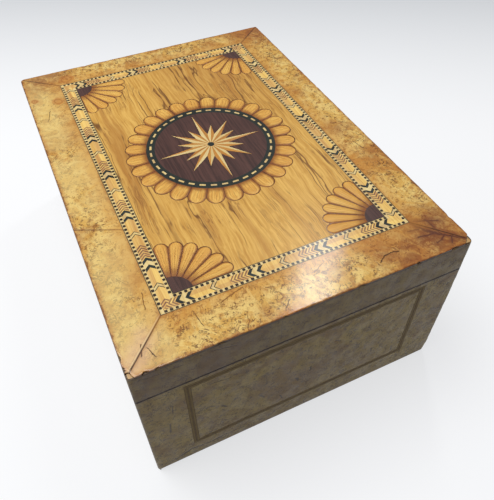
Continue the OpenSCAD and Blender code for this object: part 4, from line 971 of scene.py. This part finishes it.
def laying_tree():
    tree = bpy.data.node_groups.new("lay_pieces", "GeometryNodeTree")
    sockets = [("Places", "Geometry"), ("Piece", "Object"), ("Size Spread", "Float"),
               ("Turn Spread", "Float"), ("Shift", "Vector"), ("Seed", "Int"),
               ("Finish", "Material")]
    for label, kind in sockets:
        tree.interface.new_socket(label, in_out="INPUT", socket_type="NodeSocket" + kind)
    tree.interface.new_socket("Laid", in_out="OUTPUT", socket_type="NodeSocketGeometry")

    def add(kind, inputs=(), **settings):
        return new_node(tree, kind, inputs, settings)

    given = add("NodeGroupInput").outputs

    def chance(low, high, step, kind="FLOAT"):
        """A random number or vector for each point. The step keeps the draws apart."""
        seed = add("ShaderNodeMath", {0: given["Seed"], 1: step}).outputs[0]
        slot = 2 if kind == "FLOAT" else 0
        node = add("FunctionNodeRandomValue", {slot: low, slot + 1: high, "Seed": seed},
                   data_type=kind)
        return node.outputs[1 if kind == "FLOAT" else 0]

    back = add("ShaderNodeVectorMath", {0: given["Shift"], 3: -1.0}, operation="SCALE")
    moved = add("GeometryNodeSetPosition", {
        "Geometry": given["Places"],
        "Offset": chance(back.outputs[0], given["Shift"], 1, "FLOAT_VECTOR")})
    less = add("ShaderNodeMath", {0: 0.0, 1: given["Turn Spread"]}, operation="SUBTRACT")
    turn = add("GeometryNodeInputNamedAttribute", {"Name": "turn"}, data_type="FLOAT")
    angle = add("ShaderNodeMath", {0: turn.outputs[0],
                                   1: chance(less.outputs[0], given["Turn Spread"], 2)})
    euler = add("ShaderNodeCombineXYZ", {2: angle.outputs[0]})
    rotation = add("FunctionNodeEulerToRotation", {0: euler.outputs[0]})
    small = add("ShaderNodeMath", {0: 1.0, 1: given["Size Spread"]}, operation="SUBTRACT")
    share = chance(small.outputs[0], 1.0, 3)
    flat = add("ShaderNodeCombineXYZ", {0: share, 1: share, 2: 1.0}).outputs[0]
    copies = add("GeometryNodeInstanceOnPoints", {
        "Points": moved.outputs[0],
        "Instance": add("GeometryNodeObjectInfo", {0: given["Piece"]}).outputs["Geometry"],
        "Rotation": rotation.outputs[0], "Scale": flat})
    toned = add("GeometryNodeStoreNamedAttribute", {
        "Geometry": copies.outputs[0], "Name": "tone", "Value": chance(0.0, 1.0, 4)},
        data_type="FLOAT", domain="INSTANCE")
    real = add("GeometryNodeRealizeInstances", {0: toned.outputs[0]})
    done = add("GeometryNodeSetMaterial", {0: real.outputs[0], "Material": given["Finish"]})
    add("NodeGroupOutput", {0: done.outputs[0]})
    return tree


LAY = laying_tree()


def lay(name, piece, places, material, body, replaced, size=0.0, turn=0.0,
        shift=(0, 0, 0), seed=1):
    """Lays copies of a piece, which is a plain object, at places of x, y, z and angle.
    The result is one plain mesh, and both helpers are removed."""
    points = sheet("places", [p[:3] for p in places], [], material)
    carry(points, "turn", [p[3] for p in places])
    modifier = points.modifiers.new("lay", "NODES")
    modifier.node_group = LAY
    values = {"Piece": piece, "Size Spread": size, "Turn Spread": turn,
              "Shift": Vector(shift) * MM, "Seed": seed, "Finish": material}
    for item in LAY.interface.items_tree:
        if item.in_out == "INPUT" and item.name in values:
            modifier[item.identifier] = values[item.name]
    graph = bpy.context.evaluated_depsgraph_get()
    mesh = bpy.data.meshes.new_from_object(points.evaluated_get(graph))
    bpy.data.objects.remove(points)
    bpy.data.objects.remove(piece)
    laid = bpy.data.objects.new(name, mesh)
    mesh.name = name
    bpy.context.scene.collection.objects.link(laid)
    mesh.set_sharp_from_angle(angle=math.radians(35))
    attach(laid, body)
    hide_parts(replaced)
    print(name, len(places), "pieces,", len(mesh.polygons), "faces")
    return laid


# %% [markdown]
# ## The banding
# The banding runs clockwise round the middle panel: a fine black line, a row of ebony
# squares between cream strings, a field of chevrons, and the same again. It is the
# feature that makes this lid. Bandings were glued up as a sandwich of shaped strips and
# sawn off like slices of bread, so every slice of the chevrons is a small bent tile. The
# tiles are polygons here, cut at the mitres and raised to one level, each with a tone.

# %% Sizes of the banding
EDGE_LINE, DENTIL, SQUARE_L, SQUARE_W, PITCH = 0.45, 2.35, 1.9, 1.7, 3.55
FIELD, TIP = 6.6, 2.9
BAND_W = 2 * (EDGE_LINE + DENTIL) + FIELD
SPAN = (BAND[1] - BAND[0], BAND[3] - BAND[2])
BAND_MIDS = [(MIDDLE[0], BAND[3] - BAND_W / 2), (BAND[1] - BAND_W / 2, MIDDLE[1]),
             (MIDDLE[0], BAND[2] + BAND_W / 2), (BAND[0] + BAND_W / 2, MIDDLE[1])]
TURNS = [(1, 0, 0, 1), (0, 1, -1, 0), (-1, 0, 0, -1), (0, -1, 1, 0)]


def on_band(side, u, v):
    """From places along and across a run of the banding to x and y."""
    a, b, c, d = TURNS[side]
    x, y = BAND_MIDS[side]
    return x + a * u + b * v, y + c * u + d * v


def run_half(side, v):
    return (SPAN[side % 2] - BAND_W) / 2 + v


# The slices of one repeat: start, end and wood, along the way the points face
HEAVY, HEAVY_GAP, STRIPE, STRIPE_PITCH, STRIPES = 2.7, 3.8, 1.2, 2.4, 5
PLAIN, THIN, THIN_GAP, LAST = 10.2, 0.7, 1.9, 13.3
slices = [(0, HEAVY, "black"), (HEAVY, HEAVY + HEAVY_GAP, "cream"),
          (HEAVY + HEAVY_GAP, 2 * HEAVY + HEAVY_GAP, "black")]
at = 2 * HEAVY + HEAVY_GAP + 1
slices.append((at - 1, at, "gold"))
for i in range(STRIPES):
    slices += [(at, at + STRIPE, "brown"), (at + STRIPE, at + STRIPE_PITCH, "gold")]
    at += STRIPE_PITCH
at += PLAIN - (STRIPE_PITCH - STRIPE)
slices[-1] = (slices[-1][0], at, "gold")
for length, wood in ((THIN, "black"), (THIN_GAP, "cream"), (THIN, "black"), (LAST, "gold")):
    slices.append((at, at + length, wood))
    at += length
REPEAT = at
print("one repeat is", round(REPEAT, 2), "mm in", len(slices), "slices")


# %% Chevron tiles
def cut(polygon, keep):
    """The part of a polygon where the function keep is positive."""
    out = []
    for a, b in zip(polygon, polygon[1:] + polygon[:1]):
        ka, kb = keep(a), keep(b)
        if ka > 0:
            out.append(a)
        if (ka > 0) != (kb > 0):
            s = ka / (ka - kb)
            out.append((a[0] + s * (b[0] - a[0]), a[1] + s * (b[1] - a[1])))
    return out


def prism(outline, low, high, first=0):
    """Corners and faces of a flat tile. The first corner has the given number."""
    n = len(outline)
    corners = [(*p, z) for z in (low, high) for p in outline]
    faces = [[first + n + k for k in range(n)], [first + n - 1 - k for k in range(n)]]
    faces += [[first + k, first + (k + 1) % n, first + n + (k + 1) % n, first + n + k]
              for k in range(n)]
    return corners, faces


def tiles(name, outlines, top, material, body, replaced, seed=5):
    """Flat tiles from z = INLAY up to their own top, each with its own tone."""
    pick = random.Random(seed)
    corners, faces, tones = [], [], []
    for outline in outlines:
        level = top - pick.uniform(0, 0.03)
        more = prism(outline, INLAY, level, len(corners))
        corners, faces = corners + more[0], faces + more[1]
        tones += [pick.random()] * len(more[0])
    piece = sheet(name, corners, faces, material, body)
    carry(piece, "tone", tones)
    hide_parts(replaced)
    print(name, len(outlines), "tiles")
    return piece


def area(polygon):
    return sum(a[0] * b[1] - b[0] * a[1]
               for a, b in zip(polygon, polygon[1:] + polygon[:1])) / 2


outlines = {"black": [], "cream": [], "gold": [], "brown": []}
reach = FIELD / 2
for side in range(4):
    n = math.ceil(run_half(side, reach) / REPEAT) + 1
    for i in range(-n, n + 1):
        base = (i + (side % 2) / 2) * REPEAT - HEAVY - HEAVY_GAP / 2 + TIP / 2
        for start, end, wood in slices:
            u0, u1 = base + start, base + end
            lean = rough(u0, side * 9, 0, 4, 0.35)
            halves = [[(u0, 0), (u1, 0), (u1 - TIP + lean, reach), (u0 - TIP + lean, reach)],
                      [(u0 - TIP - lean, -reach), (u1 - TIP - lean, -reach), (u1, 0), (u0, 0)]]
            for outline in halves:
                for sign in (-1, 1):
                    outline = cut(outline, lambda p: run_half(side, p[1]) - sign * p[0])
                if len(outline) > 2 and abs(area(outline)) > 0.01:
                    outlines[wood].append([on_band(side, *p) for p in outline])
# The two cream strings that the squares lie in
for v0, v1 in ((reach, reach + DENTIL), (-reach - DENTIL, -reach)):
    for side in range(4):
        outlines["cream"].append([on_band(side, *p) for p in (
            (-run_half(side, v0), v0), (run_half(side, v0), v0),
            (run_half(side, v1), v1), (-run_half(side, v1), v1))])
finish_of = {"black": (toned["ebony"], "chevrons_black", "ebony"),
             "cream": (toned["holly"], "banding_cream", "holly"),
             "gold": (toned["golden"], "chevrons_gold", "satinwood"),
             "brown": (toned["walnut"], "chevrons_brown", "walnut")}
for wood, (material, replaced, slot) in finish_of.items():
    tiles("inlay_" + replaced, outlines[wood], TOP - 0.02, material, "lid", replaced)

# %% [markdown]
# The squares were sawn from an ebony strip and pressed into the cream strings one by one,
# so they are one small tile with soft corners, laid in eight rows by the tree above.

# %% Squares
SQUARE_V = FIELD / 2 + DENTIL / 2
SAWN = (2.1, 2.0, 0.4)          # length, width and corner radius of a square as laid


def rounded_tile(length, width, radius, top):
    """A flat tile with round corners round the origin, its face at z = top - INLAY."""
    outline, steps = [], 3
    for k, (sx, sy) in enumerate(((1, 1), (-1, 1), (-1, -1), (1, -1))):
        for i in range(steps):
            a = math.radians(90 * (k + i / (steps - 1)))
            outline.append((sx * (length / 2 - radius) + radius * math.cos(a),
                            sy * (width / 2 - radius) + radius * math.sin(a)))
    return sheet("tile", *prism(outline, 0, top - INLAY), None)


places = []
for side in range(4):
    for s in (-1, 1):
        inner = SQUARE_V - SQUARE_W / 2
        half = run_half(side, -(inner + SQUARE_W) if s < 0 else inner)
        count = math.floor((2 * half - SQUARE_L) / PITCH) + 1
        for i in range(count):
            x, y = on_band(side, (i - (count - 1) / 2) * PITCH, s * SQUARE_V)
            places.append((x, y, INLAY, -math.radians(90) * side))
lay("inlay_banding_squares", rounded_tile(*SAWN, TOP + 0.02), places,
    toned["dentil"], "lid", "banding_squares", size=0.12, turn=0.08,
    shift=(0.07, 0.07, 0), seed=3)

# %% [markdown]
# ## The medallion
# A sixteen-pointed star lies on a dark roundel, inside a black ring with cream dashes and
# a wreath of petals. A quarter fan fills each corner of the panel. The petals are carved:
# each is a low cushion, scorched in hot sand along its edge and at its foot. One petal is
# modelled as a grid whose points know how far along and across the petal they lie, and
# the laying tree sets it round the ring and into the corners.

# %% Petals
PETAL_RISE, SCORCH = 0.42, 0.5


def petal(r0, r1, angle):
    """A carved petal along +X between two radii, inside a wedge of the given angle."""
    h, gap = angle / 2, SCORCH / 2
    mid = (r1 + gap) / (1 + math.sin(h))
    tip = r1 - mid
    turn = mid - tip * math.sin(h)
    across = [-1, -0.94, -0.8, -0.55, -0.28, 0, 0.28, 0.55, 0.8, 0.94, 1]
    along = [0, 0.03, 0.1, 0.22, 0.36, 0.5, 0.62, 0.73, 0.82, 0.89, 0.945, 0.98, 0.995, 1]
    corners, runs, sides = [], [], []
    for t in along:
        x = r0 + gap + (r1 - r0 - gap) * t
        half = x * math.tan(h) - gap / math.cos(h)
        if x > turn:
            half = min(half, math.sqrt(max(0, tip ** 2 - (x - mid) ** 2)))
        for s in across:
            dome = math.sqrt(max(0, 1 - s * s)) * min(1, 6 * t, 5 * (1 - t)) ** 0.5
            ripple = 0.06 * math.cos(3 * math.pi * s) * dome
            corners.append((x, s * half, TOP - INLAY - 0.02 + PETAL_RISE * dome * (
                0.55 + 0.45 * t) + ripple))
            runs.append(t)
            sides.append(s)
    top_count, m, n = len(corners), len(across), len(along)
    rim = [k for k in range(m)] + [i * m + m - 1 for i in range(1, n)]
    rim += [(n - 1) * m + k for k in range(m - 2, -1, -1)] + [i * m for i in range(n - 2, 0, -1)]
    corners += [(corners[k][0], corners[k][1], 0) for k in rim]
    faces = [[i * m + j, (i + 1) * m + j, (i + 1) * m + j + 1, i * m + j + 1]
             for i in range(n - 1) for j in range(m - 1)]
    around = len(rim)
    for k in range(around):
        a, b = rim[k], rim[(k + 1) % around]
        faces.append([a, b, top_count + (k + 1) % around, top_count + k])
    faces.append([top_count + k for k in range(around)])
    piece = sheet("petal", corners, faces, None)
    for name, values in (("run", runs), ("side", sides)):
        carry(piece, name, values + [values[k] for k in rim])
    held = bmesh.new()
    held.from_mesh(piece.data)
    bmesh.ops.remove_doubles(held, verts=held.verts, dist=1e-6)
    bmesh.ops.recalc_face_normals(held, faces=held.faces)
    held.to_mesh(piece.data)
    held.free()
    piece.data.shade_smooth()
    return piece


WREATH, WREATH_COUNT = (50.5, 66.5), 28
FAN, FAN_COUNT = (13.0, 42.0), 6
step_angle = 2 * math.pi / WREATH_COUNT
places = [(*MIDDLE, INLAY, (i + 0.5) * step_angle) for i in range(WREATH_COUNT)]
lay("carved_wreath_petals", petal(*WREATH, step_angle), places, toned["petal"], "lid",
    "wreath_petals", size=0.004, turn=0.004, seed=7)
step_angle = math.pi / 2 / FAN_COUNT
places = []
for quarter, (sx, sy) in enumerate(((-1, -1), (1, -1), (1, 1), (-1, 1))):
    x = MIDDLE[0] + sx * (SPAN[0] / 2 - BAND_W)
    y = MIDDLE[1] + sy * (SPAN[1] / 2 - BAND_W)
    places += [(x, y, INLAY, quarter * math.pi / 2 + (i + 0.5) * step_angle)
               for i in range(FAN_COUNT)]
lay("carved_fan_petals", petal(*FAN, step_angle), places, toned["petal"], "lid",
    "fan_petals", size=0.004, turn=0.003, seed=11)

# %% Dashes of the ring
RING, DASHES, DASH = (44.0, 50.5), 36, (1.58, 4.55, 0.25)
places = []
r = (RING[0] + RING[1]) / 2
for i in range(DASHES):
    a = 2 * math.pi * i / DASHES
    places.append((MIDDLE[0] + r * math.cos(a), MIDDLE[1] + r * math.sin(a), INLAY, a))
lay("inlay_ring_dashes", rounded_tile(*DASH, TOP), places, toned["holly"], "lid",
    "ring_dashes", size=0.02, turn=0.02, seed=13)
